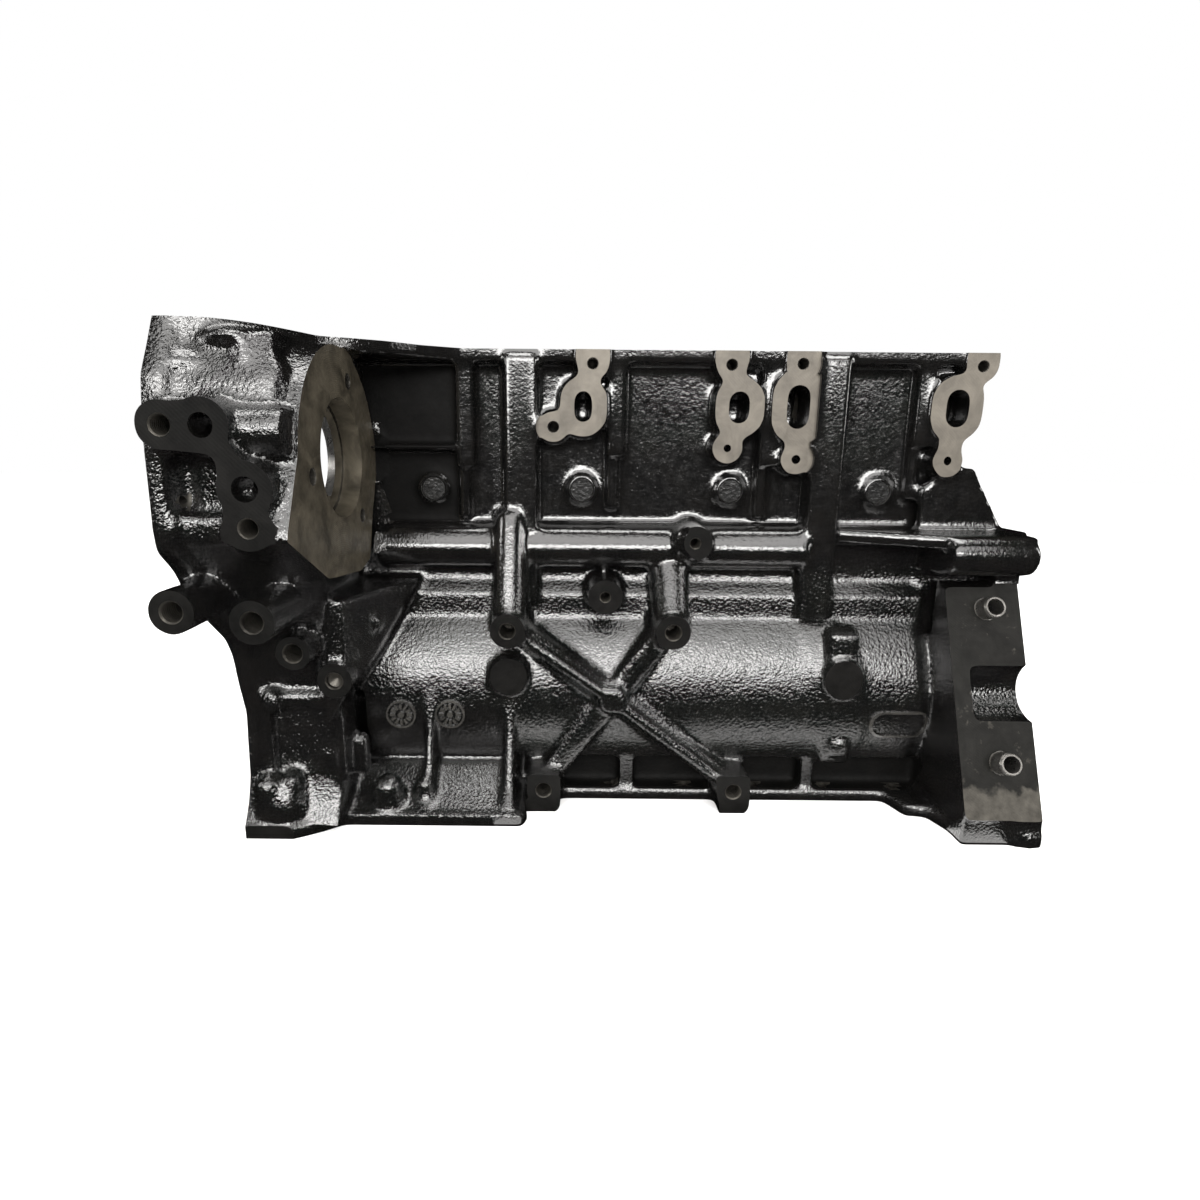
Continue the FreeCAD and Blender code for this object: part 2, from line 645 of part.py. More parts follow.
for i, (middle, foot) in enumerate(half_ribs):
    solids.append(side_rib("half_rib_" + str(i + 1), middle, half_rib_width, foot + half_rib_step,
                           deck_height - 4, half_rib_front))
    solids.append(side_rib("thin_rib_" + str(i + 1), middle - 2, half_rib_width - 4.5, foot,
                           foot + half_rib_step + 4, half_rib_front - 4))
cross_rib_drop = size("cross_rib_drop", 64.5, "level rib at the front of the wall, below the deck")
solids.append(box("cross_rib", (-pump_face, half_ribs[0][0]), (-half_rib_front + 1, -wall_half + 4),
                  (deck_height - cross_rib_drop - 2, deck_height - cross_rib_drop + 2)))
far_rib_width = size("far_rib_width", 14, "width of a rib on the far side")
for i, middle in enumerate(main_places[1:4]):
    solids.append(box("far_rib_" + str(i + 1), (middle - far_rib_width / 2, middle + far_rib_width / 2),
                      (wall_half - 4, half_rib_front), (bore_foot - 6, deck_height - 4)))

# Port pads under the deck edge: slot centre, slot half width and ends, bolt holes
port_face = size("port_face", 86, "machined face of the port pads")
port_rim = size("port_rim", 9.5, "width of the pad round a slot")
ear_radius = size("ear_radius", 10.3, "outer radius of a port pad's bolt ear")
port_hole = size("port_hole", 3.4, "radius of a port pad's tapped hole")
port_tap_depth = size("port_tap_depth", 15, "depth of a port pad's tapped hole")
port_web = size("port_web", 15, "width of the web to a bolt ear")
port_depth = size("port_depth", 14, "how far a slot stops short of the crankshaft side of the wall")
port_pads = []
for number, middle, half, low_drop, high_drop, upper_hole, lower_hole in (
        ("1", -52, 6, 47, 26.5, (-46, 9), (-72, 50)),
        ("2", 52.5, 6.7, 47, 25.5, (46, 9), (46, 63)),
        ("3", 92, 7.5, 50, 21, (93, 8), (93, 70)),
        ("4", 198.5, 7.5, 48, 23, (212, 8.5), (196, 70))):
    name = "port_" + number
    port_pads.append((
        name,
        size(name + "_middle", middle, "middle of slot " + number),
        size(name + "_half", half, "half width of slot " + number),
        deck_height - size(name + "_low", low_drop, "lower end of slot " + number + " below the deck"),
        deck_height - size(name + "_high", high_drop, "upper end of slot " + number + " below the deck"),
        below_deck(name + "_upper", *upper_hole, "upper bolt ear of slot " + number),
        below_deck(name + "_lower", *lower_hole, "lower bolt ear of slot " + number)))
for name, middle, half, low, high, upper_hole, lower_hole in port_pads:
    across = (middle - half - port_rim, middle + half + port_rim)
    for end_name, z in (("low", low + half), ("high", high - half)):
        solids.append(rod(name + "_" + end_name, "Y", half + port_rim,
                          (-port_face, -wall_half + 4), (middle, z)))
        cuts.append(rod(name + "_slot_" + end_name, "Y", half,
                        (-port_face - beyond, -wall_half + port_depth), (middle, z)))
    solids.append(box(name + "_pad", across, (-port_face, -wall_half + 4), (low + half, high - half)))
    cuts.append(box(name + "_slot", (middle - half, middle + half),
                    (-port_face - beyond, -wall_half + port_depth), (low + half, high - half)))
    for hole_name, hole, seat in (("upper", upper_hole, high - half), ("lower", lower_hole, low + half)):
        solids.append(rod(name + "_ear_" + hole_name, "Y", ear_radius,
                          (-port_face, -wall_half + 4), hole))
        solids.append(bar(name + "_web_" + hole_name, (middle, seat), hole, port_web,
                          (-port_face, -wall_half + 4)))
        if hole_name == "upper":
            solids.append(box(name + "_top", (hole[0] - ear_radius, hole[0] + ear_radius),
                              (-port_face, -wall_half + 4), (hole[1], deck_height)))
        cuts.append(rod(name + "_tap_" + hole_name, "Y", port_hole,
                        (-port_face - beyond, -port_face + port_tap_depth), hole))

# Four bracket bosses joined by a crossed web, and the two single bosses

bracket_face = size("bracket_face", 117, "machined face of the bracket bosses")
bracket_radius = size("bracket_radius", 12, "outer radius of a bracket boss")
bracket_hole = size("bracket_hole", 5.1, "radius of a bracket boss's tapped hole")
bracket_depth = size("bracket_depth", 24, "depth of a bracket boss's tapped hole")
bracket_high = size("bracket_high", 70.75, "height of the upper bracket bosses")
bracket_low = size("bracket_low", -45.5, "height of the lower bracket bosses")
bracket_bosses = [
    (size("bracket_1", -101.5, "front upper bracket boss, along the block"), bracket_high),
    (size("bracket_2", 10, "rear upper bracket boss, along the block"), bracket_high),
    (size("bracket_3", -77, "front lower bracket boss, along the block"), bracket_low),
    (size("bracket_4", 57, "rear lower bracket boss, along the block"), bracket_low),
]
web_middle = spot("cross_web", -29, 20, "middle of the crossed web")
web_face = bracket_face - 2
arm_width = size("arm_width", 8, "width of an arm of the crossed web")
for i, place in enumerate(bracket_bosses):
    number = str(i + 1)
    solids.append(taper("bracket_boss_" + number, "Y", bracket_radius, bracket_radius + 2,
                        (-bracket_face, -skirt_half + 6), place))
    cuts.append(rod("bracket_tap_" + number, "Y", bracket_hole,
                    (-bracket_face - beyond, -bracket_face + bracket_depth), place))
    for part_name, width, face in (("cross_arm_", arm_width, web_face),
                                   ("arm_foot_", arm_width * 2, web_face - 8)):
        solids.append(bar(part_name + number, web_middle, place, width, (-face, -skirt_half - 4)))
solids.append(rod("cross_middle", "Y", arm_width + 2, (-web_face, -skirt_half - 4), web_middle))

# Bodies that carry the upper bracket bosses out of the wall
front_boss, rear_boss = bracket_bosses[0], bracket_bosses[1]
solids.append(prism("boss_hood_1", "YZ", [
    (-wall_half + 4, 150),
    (-rib_front, 140),
    (-rib_front - 5, 112),
    (-bracket_face, front_boss[1] + bracket_radius),
    (-bracket_face, front_boss[1] - bracket_radius),
    (-wall_half, front_boss[1] - bracket_radius),
], (front_boss[0] - bracket_radius + 1, front_boss[0] + bracket_radius - 1)))
solids.append(prism("boss_hood_2", "YZ", [
    (-wall_half + 4, 106),
    (-wall_half - 12, 100),
    (-bracket_face, rear_boss[1] + bracket_radius),
    (-bracket_face, rear_boss[1] - bracket_radius),
    (-wall_half, rear_boss[1] - bracket_radius),
], (rear_boss[0] - bracket_radius + 2, rear_boss[0] + bracket_radius - 1)))
for i, (x, z) in enumerate(bracket_bosses[2:]):
    solids.append(prism("lower_boss_pad_" + str(i + 1), "XZ", [
        (x - bracket_radius, z + 12),
        (x + bracket_radius, z + 12),
        (x + bracket_radius, -skirt_depth + 3),
        (x + bracket_radius - 4, -skirt_depth),
        (x - bracket_radius + 3, -skirt_depth),
    ], (-bracket_face, -skirt_half)))
single_face = size("single_face", 105, "machined face of the two single bosses")
single_radius = size("single_radius", 12, "outer radius of a single boss")
single_hole = size("single_hole", 3.4, "radius of a single boss's tapped hole")
single_depth = size("single_depth", 20, "depth of a single boss's tapped hole")
single_bosses = [spot("single_1", -35.5, 92, "front single boss"),
                 spot("single_2", 24, 129.5, "rear single boss")]
for i, place in enumerate(single_bosses):
    number = str(i + 1)
    solids.append(taper("single_boss_" + number, "Y", single_radius, single_radius + 1.5,
                        (-single_face, -wall_half + 4), place))
    cuts.append(rod("single_tap_" + number, "Y", single_hole,
                    (-single_face - beyond, -single_face + single_depth), place))

# Round pads on the barrel
barrel_front = barrel_offset + barrel_radius
round_pads = [spot("round_pad_1", -102, 35, "front round pad"),
              spot("round_pad_2", 132, 35, "rear round pad")]
round_pad_radius = size("round_pad_radius", 13.3, "radius of a round pad")
for i, place in enumerate(round_pads):
    solids.append(rod("round_pad_" + str(i + 1), "Y", round_pad_radius,
                      (-barrel_front - 2.5, -wall_half), place))
bar_x, bar_z = round_pads[1]
solids.append(box("round_pad_bar", (bar_x - 10, bar_x + 10), (-barrel_front + 1, -wall_half),
                  (-pocket_top, bar_z + 31)))
solids.append(box("square_pad", (bar_x - 3, bar_x + 7.5), (-barrel_front - 2, -skirt_half),
                  (bar_z - 58, bar_z - 48)))

# Raised band round the barrel behind the rear round pad
band_height = size("band_height", 1.6, "how far the raised band stands out of the barrel")
solids.append(shared(
    "barrel_band",
    rod("band_round", "X", barrel_radius + band_height, (bar_x - 30, bar_x + 22),
        (-barrel_offset, barrel_rise)),
    prism("band_outline", "XZ", [
        (bar_x - 27, bar_z + 35),
        (bar_x - 23, bar_z + 13),
        (bar_x - 16, bar_z - 16),
        (bar_x - 14, -pocket_top),
        (bar_x + 16, -pocket_top),
        (bar_x + 19, bar_z - 27),
        (bar_x + 14, bar_z - 1),
        (bar_x + 7, bar_z + 14),
        (bar_x - 1, bar_z + 35),
    ], (-barrel_front - 2 * beyond, -wall_half))))

# Gussets and the domed boss over the wide front part of the rail
gusset_thick = size("gusset_thick", 7, "thickness of a gusset on the wide front rail")
gusset_profile = [
    (-skirt_half, 30),
    (-barrel_front + 1, 24),
    (-barrel_front - 6, -10),
    (-barrel_front - 16, -42),
    (-shelf_reach + 3, -skirt_depth + rail_plate - 1),
    (-skirt_half, -skirt_depth + rail_plate - 1),
]
gusset_places = [size("gusset_front", -158, "front gusset"), size("gusset_rear", -101.5, "rear gusset")]
for i, middle in enumerate(gusset_places):
    solids.append(prism("gusset_" + str(i + 1), "YZ", gusset_profile,
                        (middle - gusset_thick / 2, middle + gusset_thick / 2)))
solids.append(prism("rail_slope", "YZ", [
    (-skirt_half + 4, -pocket_top),
    (-barrel_front + 4, -pocket_top - 3),
    (-barrel_front - 12, -pocket_top - 15),
    (-shelf_reach + 2, -skirt_depth + rail_plate - 1),
    (-skirt_half + 4, -skirt_depth + rail_plate - 1),
], (-front_face + 56, -shelf_end - 5)))

# Rear end: flange, leaning dowel pad, shelf with its lug, and the end gusset

solids.append(prism("rear_body", "YZ", [
    (-wall_half, 138),
    (-wall_half - 6, 60),
    (-skirt_half, 20),
    (-skirt_half, -skirt_depth),
    (skirt_half, -skirt_depth),
    (skirt_half, 20),
    (wall_half, 60),
    (wall_half, 138),
], (barrel_end - 20, rear_face)))

pad_lean = size("pad_lean", 0.4, "how far the rear pad leans out for each millimetre down")
pad_top = size("pad_top", 99, "height of the rear pad's upper edge")
pad_top_y = size("pad_top_y", 96, "reach of the rear pad's upper edge")
pad_drop = size("pad_drop", 141, "height of the rear pad")
pad_width = size("pad_width", 50.5, "width of the rear pad")
pad_foot_y = pad_top_y + pad_lean * pad_drop
flange_profile = [
    (-pad_top_y, 138),
    (-pad_top_y, pad_top),
    (-pad_foot_y, pad_top - pad_drop),
    (-foot_reach - 3, -skirt_depth),
    (rail_half + 20, -skirt_depth),
    (rail_half + 24, -20),
    (rail_half + 14, 40),
    (rail_half, 96),
    (wall_half + 6, 138),
]
solids.append(prism("rear_flange_plate", "YZ", flange_profile, (rear_face - rear_flange, rear_face)))
solids.append(prism("leaning_pad", "YZ", [
    (-pad_top_y, pad_top),
    (-pad_foot_y, pad_top - pad_drop),
    (-foot_reach, -skirt_depth),
    (-skirt_half, -skirt_depth),
    (-skirt_half, pad_top + 4),
], (rear_face - pad_width, rear_face)))

shelf_top = size("shelf_top", 137, "height of the rear shelf's upper face")
shelf_plate = size("shelf_plate", 9, "thickness of the rear shelf")
lug_reach = size("lug_reach", 121, "reach of the rear lug")
lug_radius = size("lug_radius", 13.5, "radius of the rear lug's rounded front")
solids.append(prism("rear_shelf", "XY", [
    (rear_face - 128, -wall_half + 4),
    (rear_face - 128, -wall_half - 8),
    (rear_face - 60, -lug_reach + 9),
    (rear_face - 2, -lug_reach + 9),
    (rear_face, -wall_half + 4),
], (shelf_top - shelf_plate, shelf_top)))
solids.append(rod("lug_nose", "X", lug_radius, (rear_face - 60, rear_face - 4),
                  (-lug_reach + lug_radius, shelf_top - lug_radius)))
solids.append(box("lug_body", (rear_face - 60, rear_face - 4),
                  (-lug_reach + lug_radius, -wall_half), (shelf_top - 2 * lug_radius, shelf_top)))
solids.append(prism("end_gusset", "XZ", [
    (end_wall - 30, shelf_top - 2),
    (end_wall - 30, shelf_top + 30),
    (end_wall - 14, shelf_top + 43),
    (end_wall + 4, shelf_top + 43),
    (end_wall + 10, shelf_top + 32),
    (rear_face - 6, shelf_top - 2),
], (-wall_half - 12, -wall_half - 4)))
solids.append(prism("end_plate", "XZ", [
    (end_wall - 6, shelf_top - 10),
    (end_wall - 6, shelf_top + 43),
    (end_wall + 4, shelf_top + 43),
    (rear_face - 4, shelf_top - 10),
], (-wall_half - 6, wall_half - 2)))

# Core plug bosses on both sides
plug_below = size("plug_below", 92.5, "core plugs below the deck")
plug_height = deck_height - plug_below
plug_radius = size("plug_radius", 8.6, "radius of a core plug")
plug_boss = size("plug_boss", 1.8, "wall of the boss round a core plug")
plug_proud = size("plug_proud", 4, "how far a core plug boss stands out")
for i, x in enumerate(bore_places):
    for side_name, low, high in (("near", -wall_half - plug_proud, -wall_half + 4),
                                 ("far", wall_half - 4, wall_half + plug_proud)):
        name = "plug_boss_" + side_name + "_" + str(i + 1)
        solids.append(rod(name, "Y", plug_radius + plug_boss, (low, high), (x, plug_height)))
    cuts.append(rod("plug_hole_near_" + str(i + 1), "Y", plug_radius,
                    (-wall_half - plug_proud - beyond, -jacket_radius + 3), (x, plug_height)))
    cuts.append(rod("plug_hole_far_" + str(i + 1), "Y", plug_radius,
                    (jacket_radius - 3, wall_half + plug_proud + beyond), (x, plug_height)))

# Cylinder bores, water jacket and deck holes

head_bolt_y = size("head_bolt_y", 58, "head bolt rows out from the crankshaft plane")
head_bolt_hole = size("head_bolt_hole", 6, "radius of a head bolt's tapped hole")
head_bolt_depth = size("head_bolt_depth", 85, "depth of a head bolt's tapped hole")
coolant_hole = size("coolant_hole", 3.6, "radius of a coolant hole in the deck")
coolant_x = size("coolant_x", 25, "coolant holes ahead of and behind a bore axis")
coolant_y = size("coolant_y", 53, "coolant holes out from the crankshaft plane")
bore_relief = size("bore_relief", 1.2, "relief under the lower end of a bore")

jacket_rounds = []
liner_rounds = []
for i, x in enumerate(bore_places):
    number = str(i + 1)
    cuts.append(rod("bore_" + number, "Z", bore_radius, (bore_foot - beyond, deck_height + beyond), (x, 0)))
    cuts.append(rod("bore_relief_" + number, "Z", bore_radius + bore_relief,
                    (bore_foot - 24, bore_foot), (x, 0)))
    jacket_rounds.append(rod("jacket_round_" + number, "Z", jacket_radius,
                             (jacket_floor, deck_roof_height), (x, 0)))
    liner_rounds.append(rod("liner_round_" + number, "Z", bore_radius + cylinder_wall,
                            (jacket_floor - beyond, deck_roof_height + beyond), (x, 0)))
    for hole_x in (x - coolant_x, x + coolant_x):
        for row, hole_y in (("near", -coolant_y), ("far", coolant_y)):
            tag = "front" if hole_x.number < x.number else "rear"
            cuts.append(rod("coolant_" + row + "_" + tag + "_" + number, "Z", coolant_hole,
                            (deck_roof_height - beyond, deck_height + beyond), (hole_x, hole_y)))
water_jacket = removed("water_jacket", joined("jacket_outer", jacket_rounds),
                       joined("jacket_inner", liner_rounds))
cuts.append(water_jacket)
for i, x in enumerate(main_places):
    for row, hole_y in (("near", -head_bolt_y), ("far", head_bolt_y)):
        cuts.append(rod("head_bolt_" + row + "_" + str(i + 1), "Z", head_bolt_hole,
                        (deck_height - head_bolt_depth, deck_height + beyond), (x, hole_y)))

# Crankcase bays, main bearing line and the seats of the bearing caps

skirt_inner = skirt_half - skirt_wall
cap_half = size("cap_half", 57, "half width of a main bearing cap")
cap_gap = size("cap_gap", 0.05, "side clearance of a cap in its seat")
for i in range(cylinder_count):
    number = str(i + 1)
    low = main_places[i] + main_width / 2
    high = main_places[i + 1] - main_width / 2
    cuts.append(rod("bay_round_" + number, "X", throw_radius, (low, high), (0, 0)))
    cuts.append(box("bay_lower_" + number, (low, high), (-skirt_inner, skirt_inner),
                    (-skirt_depth - beyond, 0)))
    cuts.append(box("bay_upper_" + number, (low, high), (-cap_half, cap_half), (0, bore_foot)))
for i, x in enumerate(main_places):
    number = str(i + 1)
    seat_front = -chamber_floor - beyond if i == 0 else x - main_width / 2 - 1
    cuts.append(box("cap_seat_" + number, (seat_front, x + main_width / 2 + 1),
                    (-cap_half - cap_gap, cap_half + cap_gap), (-skirt_depth - beyond, 0)))
cuts.append(rod("front_seal_recess", "X", main_radius + 6,
                (-chamber_floor - beyond, main_places[0] - main_width / 2), (0, 0)))
cuts.append(rod("main_line", "X", main_radius,
                (main_places[0] - main_width, main_places[4] + main_width / 2), (0, 0)))

# Gear chamber, open at the front face
gear_chamber = inset("gear_chamber", case_outline, case_step + case_wall,
                     (-front_face - beyond, -chamber_floor))
cuts.append(gear_chamber)

# Rear seal bore and the pocket inside the bell housing flange
seal_radius = size("seal_radius", 52, "radius of the rear seal housing bore")
bell_depth = size("bell_depth", 14, "depth of the pocket in the bell housing face")
cuts.append(rod("seal_bore", "X", seal_radius,
                (main_places[4] + main_width / 2, rear_face + beyond), (0, 0)))
cuts.append(rod("bell_pocket", "X", seal_radius + 22,
                (rear_face - bell_depth, rear_face + beyond), (0, 18)))

# Passage in the floor of the third pad hole, and the recess beside the pads
passage_hole = size("passage_hole", 3.4, "radius of the passage in the third pad hole")
cuts.append(rod("pad_passage", "Y", passage_hole, (-pad_face, -pad_face + pad_depths[1] + 8),
                (-pad_third + 2.5, pad_height - pad_third_drop + 1)))
cuts.append(box("pad_recess", (-pad_front - 8, -pad_front + 21),
                (-pad_face - beyond, -case_near_top - 9), (pad_height - 45, pad_height - 13)))
cuts.append(box("pad_recess_slot", (-pad_front - 7, -pad_front + 1),
                (-case_near_top - 10, -case_near_top - 5), (pad_height - 42, pad_height - 14)))
pump_taps = size("pump_taps", 49, "radius of the pump flange's bolt circle")
pump_tap_hole = size("pump_tap_hole", 4.2, "radius of the pump flange's tapped holes")
for i, angle in enumerate((70, 190, 310)):
    out = math.cos(math.radians(angle))
    rise = math.sin(math.radians(angle))
    cuts.append(rod("pump_tap_" + str(i + 1), "X", pump_tap_hole,
                    (-pump_face - pump_bore_depth, -pump_face + beyond),
                    (-pump_y + pump_taps * out, pump_z + pump_taps * rise)))

# Tapped holes round the gear case face and the bell housing face
cover_tap = size("cover_tap", 3.4, "radius of a tapped hole in the gear case face")
cover_tap_depth = size("cover_tap_depth", 18, "depth of a tapped hole in the gear case face")
cover_line = case_step + case_wall / 2
for i, (y, z) in enumerate((
        (-case_near_top + 8, deck_height - cover_line - 6),
        (-case_near_top - 19 + cover_line, deck_height - 92),
        (-case_reach - 10, 104),
        (-case_reach + 16 + cover_line, 12),
        (-case_reach + cover_line + 4, -skirt_depth + cover_line + 1),
        (-case_reach + 110, -skirt_depth + cover_line),
        (case_far_foot - cover_line, -skirt_depth + cover_line + 2),
        (case_far_foot + 14 - cover_line, 52),
        (case_far_top + 18 - cover_line, 168),
        (case_far_top - cover_line, deck_height - cover_line - 2))):
    cuts.append(rod("cover_tap_" + str(i + 1), "X", cover_tap,
                    (-front_face - beyond, -front_face + cover_tap_depth), (y, z)))
bell_tap = size("bell_tap", 5.1, "radius of a tapped hole in the bell housing face")
bell_tap_depth = size("bell_tap_depth", 26, "depth of a tapped hole in the bell housing face")
bell_circle = size("bell_circle", 104, "radius of the bell housing's bolt circle")
bell_rise = size("bell_rise", 14, "centre of that circle above the crankshaft axis")
for i, angle in enumerate((62, 118, 168, 206, 334, 12)):
    out = math.cos(math.radians(angle))
    rise = math.sin(math.radians(angle))
    cuts.append(rod("bell_tap_" + str(i + 1), "X", bell_tap,
                    (rear_face - bell_tap_depth, rear_face + beyond),
                    (bell_circle * out, bell_rise + bell_circle * rise)))

# Tapped holes in the sump face, in two rows along the rails
sump_tap = size("sump_tap", 3.4, "radius of a tapped hole in the sump face")
sump_tap_y = size("sump_tap_y", 91, "rows of sump bolts out from the crankshaft plane")
for i, x in enumerate(bore_places):
    for side_name, side in (("near", -1), ("far", 1)):
        for end_name, shift in (("front", -bore_pitch / 4), ("rear", bore_pitch / 4)):
            name = "sump_tap_" + side_name + "_" + end_name + "_" + str(i + 1)
            cuts.append(rod(name, "Z", sump_tap, (-skirt_depth - beyond, -skirt_depth + rail_plate + 0.5),
                            (x + shift, sump_tap_y * side)))

# Half round recess in the outer edge of the leaning pad
recess_radius = size("recess_radius", 20, "radius of the recess in the leaning pad")
cuts.append(rod("lean_recess", "X", recess_radius, (rear_face - pad_width + 12, rear_face + beyond),
                (-pad_top_y - 33, pad_top - 64)))

# Tapped holes for the main bearing cap bolts
cap_bolt_y = size("cap_bolt_y", 46, "main cap bolts out from the crankshaft plane")
cap_bolt_radius = size("cap_bolt_radius", 5.4, "radius of a main cap bolt")
cap_bolt_reach = size("cap_bolt_reach", 44, "depth of a main cap bolt in the block")
thread_gap = size("thread_gap", 0.1, "clearance between a bolt and its tapped hole")
for i, x in enumerate(main_places):
    for row, bolt_y in (("near", -cap_bolt_y), ("far", cap_bolt_y)):
        cuts.append(rod("cap_tap_" + row + "_" + str(i + 1), "Z", cap_bolt_radius + thread_gap,
                        (-beyond, cap_bolt_reach + 3), (x, bolt_y)))

# Main oil gallery, drilled from the gear chamber and closed by a screw plug
gallery_bore = size("gallery_bore", 6, "radius of the oil gallery")
gallery_plug = size("gallery_plug", 8.5, "radius of the gallery's screw plug")
gallery_plug_length = size("gallery_plug_length", 12, "length of the gallery's screw plug")
gallery_y = -wall_half - 5
cuts.append(rod("gallery_bore_cut", "X", gallery_bore, (-chamber_floor - beyond, 96),
                (gallery_y, gallery_height)))
cuts.append(rod("gallery_plug_seat", "X", gallery_plug + thread_gap,
                (-chamber_floor - beyond, -chamber_floor + gallery_plug_length),
                (gallery_y, gallery_height)))

# Hollow dowels of the leaning pad stand square to its face
lean_length = (pad_lean * pad_lean + 1).root()
inward = 1 / lean_length
downward = pad_lean / lean_length
dowel_radius = size("dowel_radius", 7.4, "outer radius of a ring dowel")
dowel_bore = size("dowel_bore", 5.5, "inner radius of a ring dowel")
dowel_proud = size("dowel_proud", 11, "how far a ring dowel stands out")
dowel_seat = size("dowel_seat", 9, "depth of a ring dowel's seat")
dowel_gap = size("dowel_gap", 0.05, "clearance of a ring dowel in its seat")
dowel_step = size("dowel_step", 0.5, "how much thicker a ring dowel is inside its seat")
dowel_chamfer = size("dowel_chamfer", 1.2, "length of the chamfer on a ring dowel's free end")
dowel_x = size("dowel_x", 226.5, "ring dowels behind the origin")
dowel_heights = [size("dowel_high", 85.5, "height of the upper ring dowel"),
                 size("dowel_low", -9.9, "height of the lower ring dowel")]
LEAN_OUT = Rotation(Vector(1, 0, 0), 90 - math.degrees(math.atan(pad_lean.number)))


def lean_y(height):
    """Where the leaning face stands at a height."""
    return -pad_top_y - (pad_top - height) * pad_lean


def leaning_rod(name, radius, depth, z):
    """A cylinder square to the leaning face, from a depth inside it to just outside."""
    thing = doc.addObject("Part::Cylinder", name)
    bind(thing, "Radius", radius)
    bind(thing, "Height", depth + beyond)
    place_at(thing, LEAN_OUT, dowel_x, lean_y(z) + depth * inward, z - depth * downward)
    return thing


for tag, z in zip(("upper", "lower"), dowel_heights):
    cuts.append(leaning_rod("dowel_seat_" + tag, dowel_radius + dowel_step + dowel_gap, dowel_seat, z))
    cuts.append(leaning_rod("dowel_tap_" + tag, dowel_bore, dowel_seat + 16, z))

# The deck is machined flat across the port pads' upper ears
cuts.append(box("above_deck", (-front_face, deck_end), (-port_face - beyond, 0),
                (deck_height, deck_height + 2 * beyond)))
raw_casting = joined("raw_casting", solids)
machining = joined("machining", cuts)
block = removed("cylinder_block", raw_casting, machining)
block.Label = "cylinder_block"
nodes = [block]


def new_body(label):
    body = doc.addObject("PartDesign::Body", label)
    body.Label = label
    nodes.append(body)
    return body


def body_sketch(body, name, role):
    """A sketch on one of a body's own origin planes."""
    sketch = body.newObject("Sketcher::SketchObject", name)
    plane = [thing for thing in body.Origin.OriginFeatures if thing.Role == role][0]
    sketch.AttachmentSupport = [(plane, "")]
    sketch.MapMode = "FlatFace"
    return sketch


def circle(sketch, across, up, radius):
    """A circle whose centre and radius are tied to the sheet."""
    across, up, radius = as_size(across), as_size(up), as_size(radius)
    centre = Vector(across.number, up.number, 0)
    item = sketch.addGeometry(Part.Circle(centre, Vector(0, 0, 1), radius.number), False)
    ties = (("DistanceX", (-1, 1, item, 3), across), ("DistanceY", (-1, 1, item, 3), up),
            ("Radius", (item,), radius))
    for kind, ends, value in ties:
        index = sketch.addConstraint(Sketcher.Constraint(kind, *ends, value.number))
        sketch.setExpression("Constraints[" + str(index) + "]", value.formula)


def pad(body, name, sketch, length):
    thing = body.newObject("PartDesign::Pad", name)
    thing.Profile = sketch
    thing.Midplane = True
    bind(thing, "Length", length)
    return thing


def bore_through(body, name, sketch):
    thing = body.newObject("PartDesign::Pocket", name)
    thing.Profile = sketch
    thing.Type = 1
    thing.Midplane = True
    return thing


def turned(body, name, points, axis="V_Axis"):
    """A turned form: an outline in the body's XZ plane, spun about the vertical axis."""
    sketch = body_sketch(body, name + "_profile", "XZ_Plane")
    outline(sketch, points)
    thing = body.newObject("PartDesign::Revolution", name)
    thing.Profile = sketch
    thing.ReferenceAxis = (sketch, [axis])
    thing.Angle = 360
    return thing


# Main bearing caps with their bolts

cap_height = size("cap_height", 46, "height of a main bearing cap")
cap_foot = size("cap_foot", 40, "half width of a cap's lower face")
cap_hole = size("cap_hole", 6, "radius of a cap's bolt hole")
bolt_head = size("bolt_head", 8.7, "distance from a bolt's axis to a corner of its head")
bolt_head_height = size("bolt_head_height", 11, "height of a bolt head")
bolt_flange = size("bolt_flange", 10.5, "radius of the flange under a bolt head")
bolt_flange_height = size("bolt_flange_height", 3, "thickness of the flange under a bolt head")
cap_ledge = size("cap_ledge", 16, "height of the wide upper part of a cap")
for i, x in enumerate(main_places):
    number = str(i + 1)
    cap = new_body("main_cap_" + number)
    profile = body_sketch(cap, "cap_profile_" + number, "YZ_Plane")
    outline(profile, [
        (-cap_half, 0),
        (cap_half, 0),
        (cap_half, -cap_height + 10),
        (cap_half - 6, -cap_height + 2),
        (cap_foot - 6, -cap_height + 2),
        (cap_foot - 20, -cap_height - 4),
        (-cap_foot + 20, -cap_height - 4),
        (-cap_foot + 6, -cap_height + 2),
        (-cap_half + 6, -cap_height + 2),
        (-cap_half, -cap_height + 10),
    ])
    pad(cap, "cap_pad_" + number, profile, main_width)
    bore_sketch = body_sketch(cap, "cap_bore_outline_" + number, "YZ_Plane")
    circle(bore_sketch, 0, 0, main_radius)
    bore_through(cap, "cap_bore_" + number, bore_sketch)
    hole_sketch = body_sketch(cap, "cap_hole_outline_" + number, "XY_Plane")
    circle(hole_sketch, 0, -cap_bolt_y, cap_hole)
    circle(hole_sketch, 0, cap_bolt_y, cap_hole)
    cap.Tip = bore_through(cap, "cap_holes_" + number, hole_sketch)
    place_at(cap, Rotation(), x, 0, 0)

